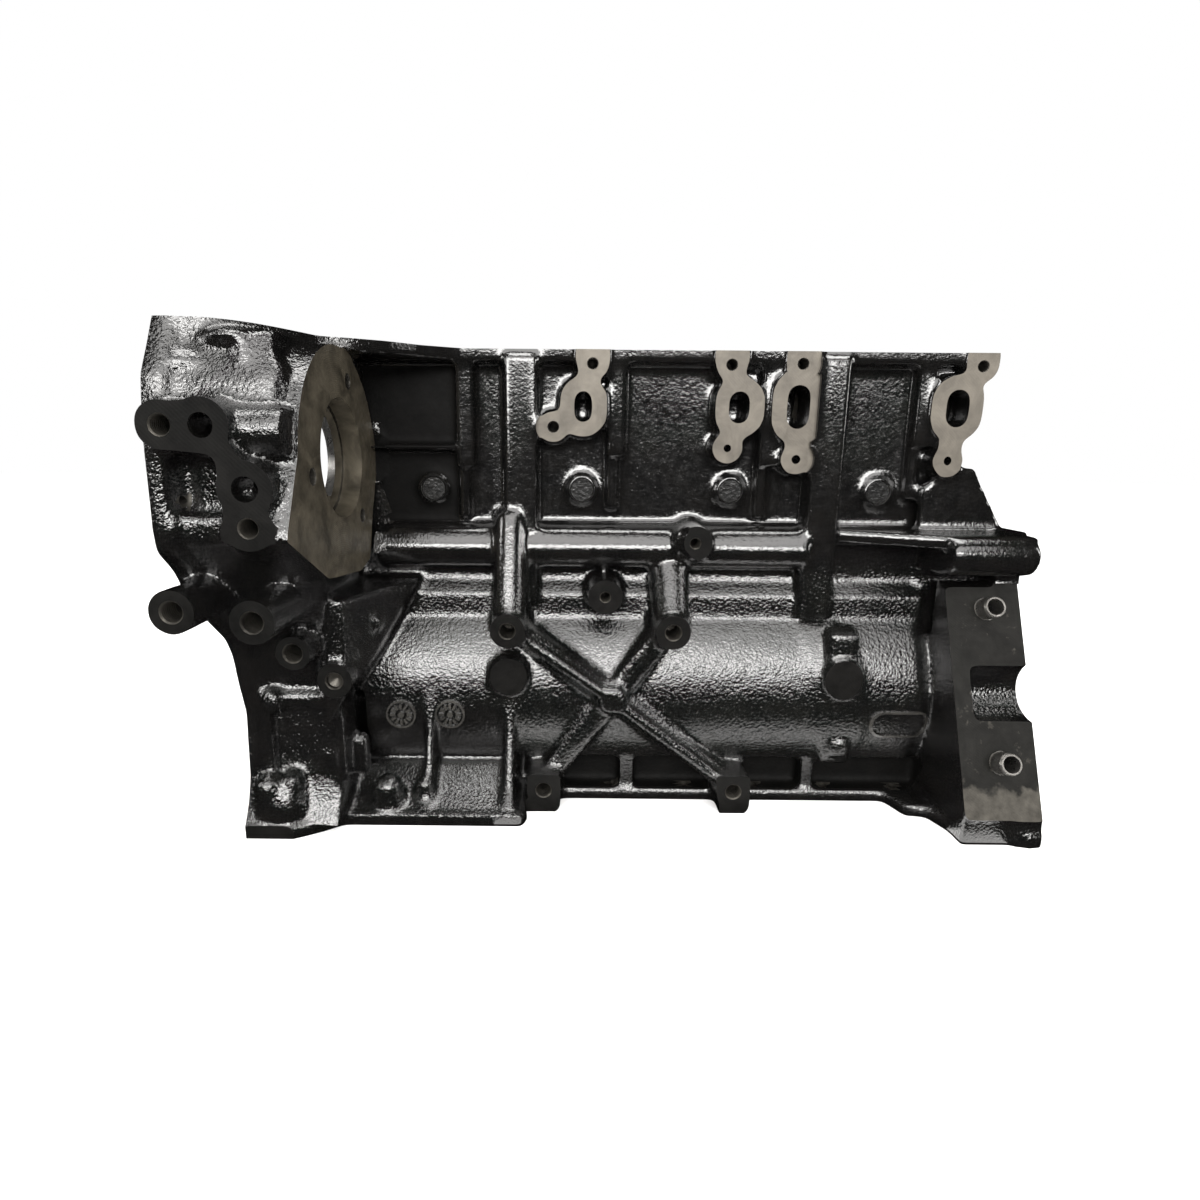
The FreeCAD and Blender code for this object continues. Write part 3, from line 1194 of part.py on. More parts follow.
cap_seat_z = -cap_height + 2
bolts = []
for i, x in enumerate(main_places):
    for row, bolt_y in (("near", -cap_bolt_y), ("far", cap_bolt_y)):
        tag = row + "_" + str(i + 1)
        shank = rod("bolt_shank_" + tag, "Z", cap_bolt_radius,
                    (cap_seat_z - 1, cap_bolt_reach), (x, bolt_y))
        flange = rod("bolt_flange_" + tag, "Z", bolt_flange,
                     (cap_seat_z - bolt_flange_height, cap_seat_z), (x, bolt_y))
        head = doc.addObject("Part::Prism", "bolt_head_" + tag)
        head.Polygon = 6
        bind(head, "Circumradius", bolt_head)
        bind(head, "Height", bolt_head_height)
        place_at(head, Rotation(), x, bolt_y, cap_seat_z - bolt_head_height)
        bolts.append(joined("main_cap_bolt_" + tag, [shank, flange, head]))
bolt_group = doc.addObject("Part::Compound", "main_cap_bolts")
bolt_group.Links = bolts
bolt_group.Label = "main_cap_bolts"
nodes.append(bolt_group)

# Cup plugs in the water jacket's core holes

plug_gap = size("plug_gap", 0.03, "clearance drawn round a core plug")
plug_sheet = size("plug_sheet", 1.6, "wall of a core plug")
plug_depth = size("plug_depth", 6, "depth of a core plug")
plug_edge = size("plug_edge", 0.9, "rounded edge of a core plug")
plug_sink = size("plug_sink", 0.4, "how far a core plug's face lies inside its boss")
plug_round = plug_radius - plug_gap
TURN_OUT = {"near": Rotation(Vector(1, 0, 0), 90), "far": Rotation(Vector(1, 0, 0), -90)}
for side_name, side in (("near", -1), ("far", 1)):
    for i, x in enumerate(bore_places):
        label = "core_plug_" + side_name + "_" + str(i + 1)
        plug = new_body(label)
        turned(plug, label + "_cup", [
            (0, 0),
            (plug_round - plug_edge, 0),
            (plug_round, -plug_edge),
            (plug_round, -plug_depth),
            (plug_round - plug_sheet, -plug_depth),
            (plug_round - plug_sheet, -plug_sheet),
            (0, -plug_sheet),
        ])
        place_at(plug, TURN_OUT[side_name], x, (wall_half + plug_proud - plug_sink) * side, plug_height)

# Ring dowels of the leaning pad
for tag, z in zip(("upper", "lower"), dowel_heights):
    dowel = new_body("ring_dowel_" + tag)
    turned(dowel, "ring_" + tag, [
        (dowel_bore, 0),
        (dowel_radius + dowel_step, 0),
        (dowel_radius + dowel_step, dowel_seat),
        (dowel_radius, dowel_seat),
        (dowel_radius, dowel_seat + dowel_proud - dowel_chamfer),
        (dowel_radius - dowel_chamfer * 0.7, dowel_seat + dowel_proud),
        (dowel_bore, dowel_seat + dowel_proud),
    ])
    place_at(dowel, LEAN_OUT, dowel_x, lean_y(z) + dowel_seat * inward, z - dowel_seat * downward)

# Screw plug of the oil gallery
plug_hex = size("plug_hex", 4.6, "corner distance of the gallery plug's hexagon socket")
screw_plug = new_body("gallery_plug")
turned(screw_plug, "gallery_plug_round", [
    (0, 0),
    (gallery_plug, 0),
    (gallery_plug, gallery_plug_length - 1),
    (gallery_plug - 1, gallery_plug_length),
    (0, gallery_plug_length),
])
socket_sketch = body_sketch(screw_plug, "socket_outline", "XY_Plane")
corners = [math.radians(60 * i) for i in range(6)]
outline(socket_sketch, [(plug_hex * math.cos(turn), plug_hex * math.sin(turn)) for turn in corners])
socket = screw_plug.newObject("PartDesign::Pocket", "socket")
socket.Profile = socket_sketch
socket.Reversed = True
bind(socket, "Length", gallery_plug_length / 2)
place_at(screw_plug, Rotation(Vector(0, 1, 0), 90), -chamber_floor, gallery_y, gallery_height)

doc.recompute()
bad = [thing.Name for thing in doc.Objects if "Invalid" in thing.State or "Error" in thing.State]
if bad:
    raise RuntimeError("failed objects: " + ", ".join(bad))
os.makedirs("parts", exist_ok=True)
for node in nodes:
    shape = node.Shape
    if shape.isNull() or not shape.isValid():
        raise RuntimeError("bad shape: " + node.Label)
    shape.exportStep("parts/" + node.Label + ".step")
    print(node.Label, len(shape.Solids), "solids", round(shape.Volume / 1000, 1), "cm3", shape.BoundBox)
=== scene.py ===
# %% [markdown]
# # A painted engine block
# The CAD model gives every piece of this block its place and its size. What it lacks is the look of
# a casting: edges rounded by the sand mould, a leathery skin under gloss black paint, and crisp
# machined faces cut through that skin. This lesson makes that look in the order of the foundry:
# first the raw casting, then the machining, then the paint.

# %% Load the CAD frame
import json
import math

import bmesh
import bpy
import numpy as np
from mathutils import Matrix, Vector
from mathutils.bvhtree import BVHTree


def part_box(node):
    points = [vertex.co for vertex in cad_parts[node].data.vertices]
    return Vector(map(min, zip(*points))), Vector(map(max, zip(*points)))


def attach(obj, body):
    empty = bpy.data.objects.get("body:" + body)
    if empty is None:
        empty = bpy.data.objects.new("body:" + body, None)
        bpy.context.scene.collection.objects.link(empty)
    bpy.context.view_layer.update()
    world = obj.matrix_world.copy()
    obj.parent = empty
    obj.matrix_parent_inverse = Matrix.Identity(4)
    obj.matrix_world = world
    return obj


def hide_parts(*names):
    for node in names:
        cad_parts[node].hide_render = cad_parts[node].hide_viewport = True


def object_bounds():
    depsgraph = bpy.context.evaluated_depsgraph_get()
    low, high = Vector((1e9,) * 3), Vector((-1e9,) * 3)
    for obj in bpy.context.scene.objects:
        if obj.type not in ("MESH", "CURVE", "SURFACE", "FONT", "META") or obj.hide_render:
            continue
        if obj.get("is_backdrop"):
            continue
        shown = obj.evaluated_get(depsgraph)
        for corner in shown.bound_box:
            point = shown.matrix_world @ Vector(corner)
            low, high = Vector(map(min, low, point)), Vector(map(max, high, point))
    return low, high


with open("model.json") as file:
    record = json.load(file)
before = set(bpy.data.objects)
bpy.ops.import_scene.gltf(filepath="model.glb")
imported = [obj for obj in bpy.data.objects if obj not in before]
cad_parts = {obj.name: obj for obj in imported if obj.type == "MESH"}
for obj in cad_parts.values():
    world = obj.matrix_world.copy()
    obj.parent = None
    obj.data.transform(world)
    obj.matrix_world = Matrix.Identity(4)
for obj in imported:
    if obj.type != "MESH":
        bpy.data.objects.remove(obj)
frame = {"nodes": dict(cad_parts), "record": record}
cad_low, cad_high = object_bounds()
MM = 0.001
record = frame["record"]
print("nodes:", len(frame["nodes"]), "box:", [round(v / MM, 1) for v in (*cad_low, *cad_high)])


def mm(x, y, z):
    """A point given in millimetres."""
    return Vector((x, y, z)) * MM


# %% [markdown]
# ## The camera
# The photograph was taken with a wide lens from close by, a little above the block and left of its
# middle. Its place was solved from the block's own corners. The small shift puts the lens axis
# where the photograph has it, because the picture was cropped after it was taken.

# %% Place the camera
CAMERA_PLACE = mm(-59, -539, 194)
FOCAL_PIXELS = 655
AXIS_PIXEL = (571, 583)
PHOTO_SIDE = 1200
PITCH_DOWN = math.radians(12)
ROLL = math.radians(0.55)

camera_data = bpy.data.cameras.new("camera")
camera = bpy.data.objects.new("camera", camera_data)
bpy.context.collection.objects.link(camera)
camera_data.sensor_width = 36
camera_data.sensor_fit = "HORIZONTAL"
camera_data.lens = FOCAL_PIXELS / PHOTO_SIDE * camera_data.sensor_width
camera_data.shift_x = (PHOTO_SIDE / 2 - AXIS_PIXEL[0]) / PHOTO_SIDE
camera_data.shift_y = (AXIS_PIXEL[1] - PHOTO_SIDE / 2) / PHOTO_SIDE
camera_data.clip_start = 0.01
camera.matrix_world = (Matrix.Translation(CAMERA_PLACE)
                       @ Matrix.Rotation(math.pi / 2 - PITCH_DOWN, 4, "X")
                       @ Matrix.Rotation(ROLL, 4, "Z"))
bpy.context.scene.camera = camera
print("lens", round(camera_data.lens, 2), "mm")

# %% [markdown]
# ## The studio
# Gloss black shows little of itself and much of what stands round it. The pale world and the floor
# light the scene but are hidden from reflections, so that the paint stays black.

# %% Floor and world
scene = bpy.context.scene
scene.view_settings.view_transform = "Standard"
world = bpy.data.worlds.new("pale_room")
scene.world = world
world.use_nodes = True
world.node_tree.nodes["Background"].inputs["Color"].default_value = (1, 1, 1, 1)
world.node_tree.nodes["Background"].inputs["Strength"].default_value = 1.0
world.cycles_visibility.glossy = False

FLOOR_GAP = 0.2 * MM
bpy.ops.mesh.primitive_circle_add(vertices=96, radius=6, fill_type="NGON",
                                  location=(0, 0, cad_low.z - FLOOR_GAP))
floor = bpy.context.object
floor.name = "floor"
floor.visible_glossy = False
pale = bpy.data.materials.new("pale_floor")
pale.use_nodes = True
pale.node_tree.nodes["Principled BSDF"].inputs["Base Color"].default_value = (0.96, 0.96, 0.96, 1)
pale.node_tree.nodes["Principled BSDF"].inputs["Roughness"].default_value = 0.9
pale.node_tree.nodes["Principled BSDF"].inputs["Specular IOR Level"].default_value = 0.0
floor.data.materials.append(pale)
floor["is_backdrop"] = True
print("floor at", round(floor.location.z / MM, 1), "mm")

# %% [markdown]
# ## Where a highlight comes from
# A highlight sits where the surface is a mirror between the camera and a lamp. The bright band on
# the barrel starts 35 mm above the crankshaft. The surface leans back 16 degrees there and the
# camera looks down on it by 21, so it mirrors what is 11 degrees above the horizon. That is the
# lower edge of a wide window far behind the camera. The upright wall sees the horizon itself, which
# is left dark. A high box greys the barrel's shoulder, a top box draws the ledges, and a narrow
# card on the floor gives the soft second band under the barrel.

# %% Hang the lamps
WARM = (1.0, 0.985, 0.965)


def lamp(name, place, target, size, power, size_y):
    """A soft box that faces a point of the block. It lights, but the camera doesn't see it."""
    data = bpy.data.lights.new(name, "AREA")
    data.shape = "RECTANGLE"
    data.size = size
    data.size_y = size_y
    data.energy = power
    data.color = WARM
    obj = bpy.data.objects.new(name, data)
    bpy.context.collection.objects.link(obj)
    obj.location = place
    obj.rotation_euler = (Vector(target) - Vector(place)).to_track_quat("-Z", "Y").to_euler()
    obj.visible_camera = False


BARREL_AIM, MIDDLE_AIM = (0, 0, 0.05), (0, 0, 0.1)
lamp("far_window", (-0.3, -9.0, 3.3), BARREL_AIM, 10.5, 1350, size_y=2.9)
lamp("high_front", (0.0, -1.6, 1.75), BARREL_AIM, 3.0, 40, size_y=1.1)
lamp("top_box", (0.0, -0.15, 1.8), MIDDLE_AIM, 2.2, 32, size_y=0.5)
lamp("left_box", (-1.9, -0.7, 0.7), MIDDLE_AIM, 0.3, 9, size_y=1.0)
lamp("right_box", (1.9, -0.5, 0.7), (0.1, 0, 0.1), 0.3, 9, size_y=1.0)
lamp("floor_card", (0.06, -0.150, -0.0605), (0.06, -0.150, 1.0), 0.34, 0.08, size_y=0.028)

# %% [markdown]
# ## Small mesh helpers
# Most forms here are prisms: a closed outline pushed along a direction. A boss is a prism with a
# round outline, and a hole is the same prism used as a cutter. A cutter is taken off the casting
# with a boolean, the MANIFOLD one, which is quick and exact on closed solids.

# %% Prisms, rods and cutters


def add_prism(bm, outline, push):
    """A closed solid between an outline and the same outline moved by a push."""
    low = [bm.verts.new(p) for p in outline]
    high = [bm.verts.new(Vector(p) + push) for p in outline]
    normal = sum(((low[i].co.cross(low[(i + 1) % len(low)].co)) for i in range(len(low))), Vector())
    if normal.dot(push) < 0:
        low.reverse()
        high.reverse()
    bm.faces.new(list(reversed(low)))
    bm.faces.new(high)
    for i in range(len(low)):
        j = (i + 1) % len(low)
        bm.faces.new((low[i], low[j], high[j], high[i]))


def across(axis):
    """Two unit vectors square to an axis."""
    axis = Vector(axis).normalized()
    helper = Vector((0, 0, 1)) if abs(axis.z) < 0.9 else Vector((1, 0, 0))
    first = axis.cross(helper).normalized()
    return first, axis.cross(first)


def ring(centre, axis, radius, sides):
    """Points on a circle round a centre."""
    first, second = across(axis)
    return [centre + radius * (math.cos(2 * math.pi * i / sides) * first
                               + math.sin(2 * math.pi * i / sides) * second) for i in range(sides)]


def add_lathe(bm, base, axis, profile, sides=40):
    """A turned closed solid. The profile lists (distance along the axis, radius)."""
    axis = Vector(axis).normalized()
    rings = [[bm.verts.new(p) for p in ring(base + axis * along, axis, radius, sides)]
             for along, radius in profile]
    for low, high in zip(rings, rings[1:]):
        for i in range(sides):
            j = (i + 1) % sides
            bm.faces.new((low[i], low[j], high[j], high[i]))
    bm.faces.new(list(reversed(rings[0])))
    bm.faces.new(rings[-1])


def add_rod(bm, base, axis, length, radius, far_radius=None, sides=40):
    """A round rod, or a cone where the far end has a radius of its own."""
    add_lathe(bm, base, axis, [(0, radius), (length, far_radius or radius)], sides)


def to_object(bm, name):
    """Puts a finished mesh into the scene."""
    bmesh.ops.recalc_face_normals(bm, faces=bm.faces)
    mesh = bpy.data.meshes.new(name)
    bm.to_mesh(mesh)
    bm.free()
    obj = bpy.data.objects.new(name, mesh)
    bpy.context.collection.objects.link(obj)
    return obj


def apply_modifier(obj, kind, **settings):
    """Adds a modifier and makes its result the object's own mesh."""
    modifier = obj.modifiers.new(kind.lower(), kind)
    for key, value in settings.items():
        setattr(modifier, key, value)
    bpy.context.view_layer.objects.active = obj
    bpy.ops.object.modifier_apply(modifier=modifier.name)


def cut_away(obj, bm, name):
    """Takes a cutter off an object and throws the cutter away."""
    cutter = to_object(bm, name)
    apply_modifier(obj, "BOOLEAN", operation="DIFFERENCE", object=cutter, solver="MANIFOLD")
    bpy.data.objects.remove(cutter)


print("mesh helpers ready")

# %% [markdown]
# ## Reading the machined faces
# A machinist's drawing says which faces of a casting are milled flat. Here the CAD solid says it:
# each flat island on a known plane is a machined face, its outer edge is the face's outline, and
# its inner edges are the mouths of holes. Reading them keeps the skin true to the CAD model.

# %% Find flat islands and the mouths of their holes
bm = bmesh.new()
bm.from_mesh(frame["nodes"]["cylinder_block"].data)
bmesh.ops.remove_doubles(bm, verts=bm.verts, dist=1e-6)
block_tree = BVHTree.FromBMesh(bm)
LEAN = Vector((0, -1, 0.4)).normalized()
FLAT = 0.9995


def loops_of(edges):
    """Chains boundary edges into closed loops of points."""
    links = {}
    for edge in edges:
        for vert in edge.verts:
            links.setdefault(vert, []).append(edge)
    loops, used = [], set()
    for edge in edges:
        if edge in used:
            continue
        loop, vert = [], edge.verts[0]
        while edge is not None:
            used.add(edge)
            loop.append(vert.co.copy())
            vert = edge.other_vert(vert)
            edge = next((e for e in links[vert] if e not in used), None)
        loops.append(loop)
    return loops


def flat_islands(normal, distance, tolerance=0.02 * MM):
    """The loops of each connected flat face on a plane, the outer loop first."""
    normal = Vector(normal).normalized()
    faces = {f for f in bm.faces if f.normal.dot(normal) > FLAT
             and abs(f.calc_center_median().dot(normal) - distance) < tolerance}
    islands = []
    while faces:
        stack, island = [faces.pop()], set()
        while stack:
            face = stack.pop()
            island.add(face)
            for edge in face.edges:
                for other in edge.link_faces:
                    if other in faces:
                        faces.remove(other)
                        stack.append(other)
        edges = [e for f in island for e in f.edges if sum(o in island for o in e.link_faces) == 1]
        loops = loops_of(edges)
        loops.sort(key=lambda loop: -max((p - loop[0]).length for p in loop))
        islands.append((island, loops))
    return islands


print("CAD faces:", len(bm.faces))

# %% [markdown]
# ## Which faces are machined
# Each entry names a direction and how far out the milled plane lies. Bosses for brackets stand out
# furthest, the pads of the cover plates lie just proud of the wall, and the long faces at the ends,
# the top and the bottom take the timing cover, the bell housing, the head and the sump.

# %% List the machined planes
MACHINED = {
    "front_pads": ((0, -1, 0), 222),
    "passage_boss": ((0, -1, 0), 172),
    "dimple_boss": ((0, -1, 0), 153),
    "bracket_bosses": ((0, -1, 0), 117),
    "round_pads": ((0, -1, 0), 106.5),
    "single_bosses": ((0, -1, 0), 105),
    "port_pads": ((0, -1, 0), 86),
    "engine_mount": ((0, 1, 0), 112),
    "filter_pad": ((0, 1, 0), 118),
    "timing_face": ((-1, 0, 0), 271),
    "bell_face": ((1, 0, 0), 250),
    "pump_flange": ((1, 0, 0), -197),
    "deck": ((0, 0, 1), 255),
    "sump_face": ((0, 0, -1), 62),
    "leaning_pad": (tuple(LEAN), LEAN.dot(Vector((0, -96, 99)))),
}
planes = {}
for name, (normal, distance) in MACHINED.items():
    planes[name] = flat_islands(normal, distance * MM)
    print(name, "faces:", len(planes[name]), "holes:", sum(len(i) - 1 for _, i in planes[name]))

# %% [markdown]
# ## Measuring the holes
# A hole's mouth is a round loop on a machined face. Short rays cast sideways from its axis tell how
# deep its round wall goes, the way a machinist would lower a gauge into it. The lowest ear of
# the front pads is split by a step in the CAD model, so its hole is written down.

# %% Measure each hole
MAX_DEPTH = 120
LARGEST_MOUTH = 12 * MM
OUT_OF_ROUND = 0.05
GAUGE_ANGLES = (0.3, 1.4, 2.4, 3.4, 4.5, 5.6)
GAUGE_SLACK = 0.06


def round_mouth(loop):
    """The centre and radius of a loop that is a circle, or nothing."""
    centre = sum(loop, Vector()) / len(loop)
    radii = [(p - centre).length for p in loop]
    if len(loop) < 8 or max(radii) - min(radii) > OUT_OF_ROUND * max(radii):
        return None
    return centre, max(radii)


def wall_depth(centre, normal, radius):
    """How far a round wall goes in from its mouth. Half of the gauge's rays have to meet it."""
    inward = -Vector(normal).normalized()
    first, second = across(normal)
    directions = [math.cos(a) * first + math.sin(a) * second for a in GAUGE_ANGLES]
    depth = 0.5
    while depth < MAX_DEPTH:
        start = centre + inward * depth * MM
        hits = [block_tree.ray_cast(start, d, radius * 1.2)[3] for d in directions]
        if sum(h is not None and abs(h - radius) < GAUGE_SLACK * radius for h in hits) < 3:
            break
        depth += 1
    return depth * MM


holes = []
for name, islands in planes.items():
    normal = Vector(MACHINED[name][0]).normalized()
    for faces, loops in islands:
        for loop in loops[1:]:
            mouth = round_mouth(loop)
            if mouth and mouth[1] < LARGEST_MOUTH:
                holes.append((name, mouth[0], normal, mouth[1], wall_depth(mouth[0], normal, mouth[1])))
EAR, EAR_RADIUS = mm(-216.5, -222, 152), 11.3 * MM
EAR_HOLE_RADIUS, EAR_HOLE_DEPTH = 4.6 * MM, 20 * MM
holes.append(("front_pads", EAR, Vector((0, -1, 0)), EAR_HOLE_RADIUS, EAR_HOLE_DEPTH))
print("holes:", len(holes), "deepest:", round(max(hole[4] for hole in holes) / MM, 1), "mm")

# %% [markdown]
# ## Bored surfaces
# Cylinders, bearing seats and the pump bore are cut on a boring mill, so they stay crisp. Each line
# of the table gives a round cut: its axis, a point on it, its radius and where it starts and ends,
# and the stretch that is filled before the skin is melted. All lengths are in millimetres.

# %% List the bored cuts
CYLINDER_RADIUS, MAIN_RADIUS, MAIN_HALF = 47.7, 37, 13
PUMP_AXIS = (-138, 184)


def mount_places(kind):
    """Where the record puts the mounts of a kind, in millimetres."""
    return [[v / MM for v in m["pos_m"]] for m in record["mounts"] if m["name"].startswith(kind)]


BORES = mount_places("cylinder_bore")
MAINS = [place[0] for place in mount_places("main_bore")]
ROUND_CUTS = [("Z", (x, y), CYLINDER_RADIUS, (62, 262), (97, 257)) for x, y, z in BORES]
ROUND_CUTS += [("X", (0, 0), MAIN_RADIUS, (x - MAIN_HALF, x + MAIN_HALF), None) for x in MAINS]
ROUND_CUTS += [
    ("X", (0, 0), 52, (220, 240), (219, 238)),  # the rear seal
    ("X", (0, 18), 74, (236, 262), (237, 252)),  # the pocket of the bell housing face
    ("X", PUMP_AXIS, 35.5, (-209, -180), (-213.5, -195)),  # the pump's spigot
    ("X", PUMP_AXIS, 32.5, (-218, -208), None),  # the lip behind it
    ("X", PUMP_AXIS, 46, (-226, -214), None),  # the pocket of the pump gear
    ("X", (-77, 125.5), 8.6, (-230, -214), (-224.5, -213)),  # the gallery plug's seat
    ("X", (-112, 184), 28, (-230, -213.5), None),  # the pocket's opening to the right
]
PLUG_SEAT_RADIUS = 8.65
for i in range(1, 5):
    for side, span, fill in (("near", (-80, -62), (-75.5, -62)), ("far", (62, 80), (62, 75.5))):
        low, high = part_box("core_plug_" + side + "_" + str(i))
        x, z = (low[0] + high[0]) / 2 / MM, (low[2] + high[2]) / 2 / MM
        ROUND_CUTS.append(("Y", (x, z), PLUG_SEAT_RADIUS, span, fill))
print("round cuts:", len(ROUND_CUTS))

# %% [markdown]
# ## Seats of the bearing caps
# Each main bearing cap drops into a square seat that is milled across the bearing wall. The first
# seat runs on through the front wall. A smaller box fills the seat while the skin is melted.

# %% List the cap seats
SEAT_HALF, SEAT_SIDE, SEAT_FOOT, FIRST_SEAT_START = 13.2, 57.05, -70, -229
CAP_SEATS = [((x - SEAT_HALF, -SEAT_SIDE, SEAT_FOOT), (x + SEAT_HALF, SEAT_SIDE, 0)) for x in MAINS]
CAP_SEATS[0] = ((FIRST_SEAT_START, -SEAT_SIDE, SEAT_FOOT), CAP_SEATS[0][1])
FILL_HALF, FILL_SIDE, FILL_FOOT, FILL_TOP = 11.5, 59, -61, 39
CAP_FILLS = [((x - FILL_HALF, -FILL_SIDE, FILL_FOOT), (x + FILL_HALF, FILL_SIDE, FILL_TOP)) for x in MAINS]


def round_ends(axis, centre, span):
    """The start point and the direction of a round cut."""
    a, b = centre
    start = {"X": (span[0], a, b), "Y": (a, span[0], b), "Z": (a, b, span[0])}[axis]
    return mm(*start), Vector([float(axis == name) for name in "XYZ"])


def add_box(bm, low, high):
    """A box between two corners given in millimetres."""
    low, high = mm(*low), mm(*high)
    outline = [(low.x, low.y), (high.x, low.y), (high.x, high.y), (low.x, high.y)]
    add_prism(bm, [Vector((x, y, low.z)) for x, y in outline], Vector((0, 0, high.z - low.z)))


print("cap seats:", len(CAP_SEATS))

# %% [markdown]
# ## Round bosses
# The two upper bracket bosses are square bodies in the CAD model. The pattern maker turned them
# round: each face is a disc, and its body runs back up the wall like a leaning column. The square
# body is carved off the copy, and a rod and a cone take its place. One corner lies on an arm of
# the crossed web, so there only the first 2 mm are carved, and the disc stands proud of the arm.

# %% Carve the two square bodies
BOSS_RADIUS, BOSS_PLANE = 12, -117
ROUND_BOSSES = [(-101.5, 70.75, 1), (10, 70.75, -1)]
BODY_BACK, BODY_TOP = -96, 140
CARVE_HALF, CARVE_DROP, CARVE_FRONT, ARM_BACK = 15, 14, -130, -115


def round_face(centre, normal):
    """The disc that is the face of a round boss, or nothing for any other face."""
    for x, z, arm in ROUND_BOSSES:
        middle = mm(x, centre.y / MM, z)
        on_plane = normal.y < -0.99 and abs(centre.y / MM - BOSS_PLANE) < 0.1
        if on_plane and (centre - middle).length < 8 * MM:
            return ring(middle, normal, BOSS_RADIUS * MM, 48)
    return None


carves = bmesh.new()
for x, z, arm in ROUND_BOSSES:
    add_box(carves, (x - CARVE_HALF, CARVE_FRONT, z + 1), (x + CARVE_HALF, BODY_BACK, BODY_TOP))
    for side, back in ((-arm, BODY_BACK), (arm, ARM_BACK)):
        left, right = sorted((x, x + CARVE_HALF * side))
        add_box(carves, (left, CARVE_FRONT, z - CARVE_DROP), (right, back, z + 1))
casting = to_object(bm.copy(), "casting")
cut_away(casting, carves, "carves")
print("carved:", len(casting.data.polygons))

# %% [markdown]
# ## The raw casting
# Sand castings come out of the mould with every hole still solid and with a few millimetres to
# spare on each face that will be milled. The CAD solid gets both back: plugs in the holes, and a
# slab on each machined face. The water jacket round each cylinder is filled too, out of sight.

# %% Fill the holes and add the machining allowance
ALLOWANCE = 4 * MM
DECK_ALLOWANCE = 8 * MM
PLUG_EXTRA = 0.5 * MM
FILL_EXTRA = 2
JACKET, JACKET_RADIUS = (127, 245), 65

extra = bmesh.new()
for name, islands in planes.items():
    push = Vector(MACHINED[name][0]).normalized() * (DECK_ALLOWANCE if name == "deck" else ALLOWANCE)
    for faces, loops in islands:
        disc = round_face(sum(loops[0], Vector()) / len(loops[0]), push.normalized())
        for outline in ([disc] if disc else [[v.co for v in face.verts] for face in faces]):
            add_prism(extra, outline, push)
for name, centre, normal, radius, depth in holes:
    add_rod(extra, centre + normal * ALLOWANCE, -normal, ALLOWANCE + depth, radius + PLUG_EXTRA, sides=24)
for axis, centre, radius, span, fill in ROUND_CUTS:
    if fill:
        start, along = round_ends(axis, centre, fill)
        add_rod(extra, start, along, (fill[1] - fill[0]) * MM, (radius + FILL_EXTRA) * MM, sides=48)
for low, high in CAP_FILLS:
    add_box(extra, low, high)
for x, y, z in BORES:
    start, along = round_ends("Z", (x, y), JACKET)
    add_rod(extra, start, along, (JACKET[1] - JACKET[0]) * MM, JACKET_RADIUS * MM, sides=48)
print("faces of the fills:", len(extra.faces))

# %% [markdown]
# ## Round and soft forms
# Some forms of the casting are softer than a CAD solid makes them. Each round boss is a short rod
# on a cone that leans back into the wall. The oil gallery shows as a round tube along the wall. The
# gear case has a hump at its foot and swollen upper corners, made of flattened balls sunk into it.

# %% Add the round bodies, the gallery tube and the lumps
BOSS_FRONT, CONE_FRONT, BOSS_LENGTH = -118, -105, 33
CONE_ENDS = ((145, -81, 11), (105, -81, 15))
for (x, z, arm), (top, back, radius) in zip(ROUND_BOSSES, CONE_ENDS):
    add_rod(extra, mm(x, BOSS_FRONT, z), (0, 1, 0), BOSS_LENGTH * MM, BOSS_RADIUS * MM)
    lean = mm(x, back, top) - mm(x, CONE_FRONT, z)
    add_rod(extra, mm(x, CONE_FRONT, z), lean, lean.length, BOSS_RADIUS * MM, radius * MM)
EAR_LENGTH = 16 * MM
add_rod(extra, EAR - Vector((0, ALLOWANCE, 0)), (0, 1, 0), EAR_LENGTH, EAR_RADIUS)
TUBE_START, TUBE_LENGTH, TUBE_RADIUS = (-194, -79, 121.5), 300, 13.5
add_rod(extra, mm(*TUBE_START), (1, 0, 0), TUBE_LENGTH * MM, TUBE_RADIUS * MM)
LUMPS = [((-249, -141, -45), (15, 12, 19)),
         ((-225, -187, 234), (4, 10, 16)),
         ((-258, -194, 233), (13, 6, 3.5)),
         ((-209, -190, 214), (5, 10, 22)),
         ((-234, -192, 246), (12, 5, 4))]
for centre, radii in LUMPS:
    place = Matrix.Translation(mm(*centre)) @ Matrix.Diagonal((*(r * MM for r in radii), 1))
    bmesh.ops.create_icosphere(extra, subdivisions=3, radius=1, matrix=place)
print("with the soft forms:", len(extra.faces))

# %% [markdown]
# ## One skin
# A voxel remesh melts all these solids into one closed skin, as the iron did in the mould, and
# smoothing rounds each edge and fills each inner corner. The gear case is softer than the rest, so
# its points are gathered in a vertex group and smoothed again. Last, a decimation takes out the
# triangles that nobody would miss.

# %% Melt, smooth and thin the skin
VOXEL = 2.0 * MM
CAST_SMOOTHING, CASE_SMOOTHING = 11, 14
CASE_RIGHT, CASE_FRONT, CASE_BACK, CASE_FOOT = -206 * MM, -210 * MM, -95 * MM, 30 * MM
SKIN_TRIANGLES = 140000


def join_into(target, *others):
    """Makes other objects part of a target."""
    bpy.ops.object.select_all(action="DESELECT")
    for obj in (target, *others):
        obj.select_set(True)
    bpy.context.view_layer.objects.active = target
    bpy.ops.object.join()


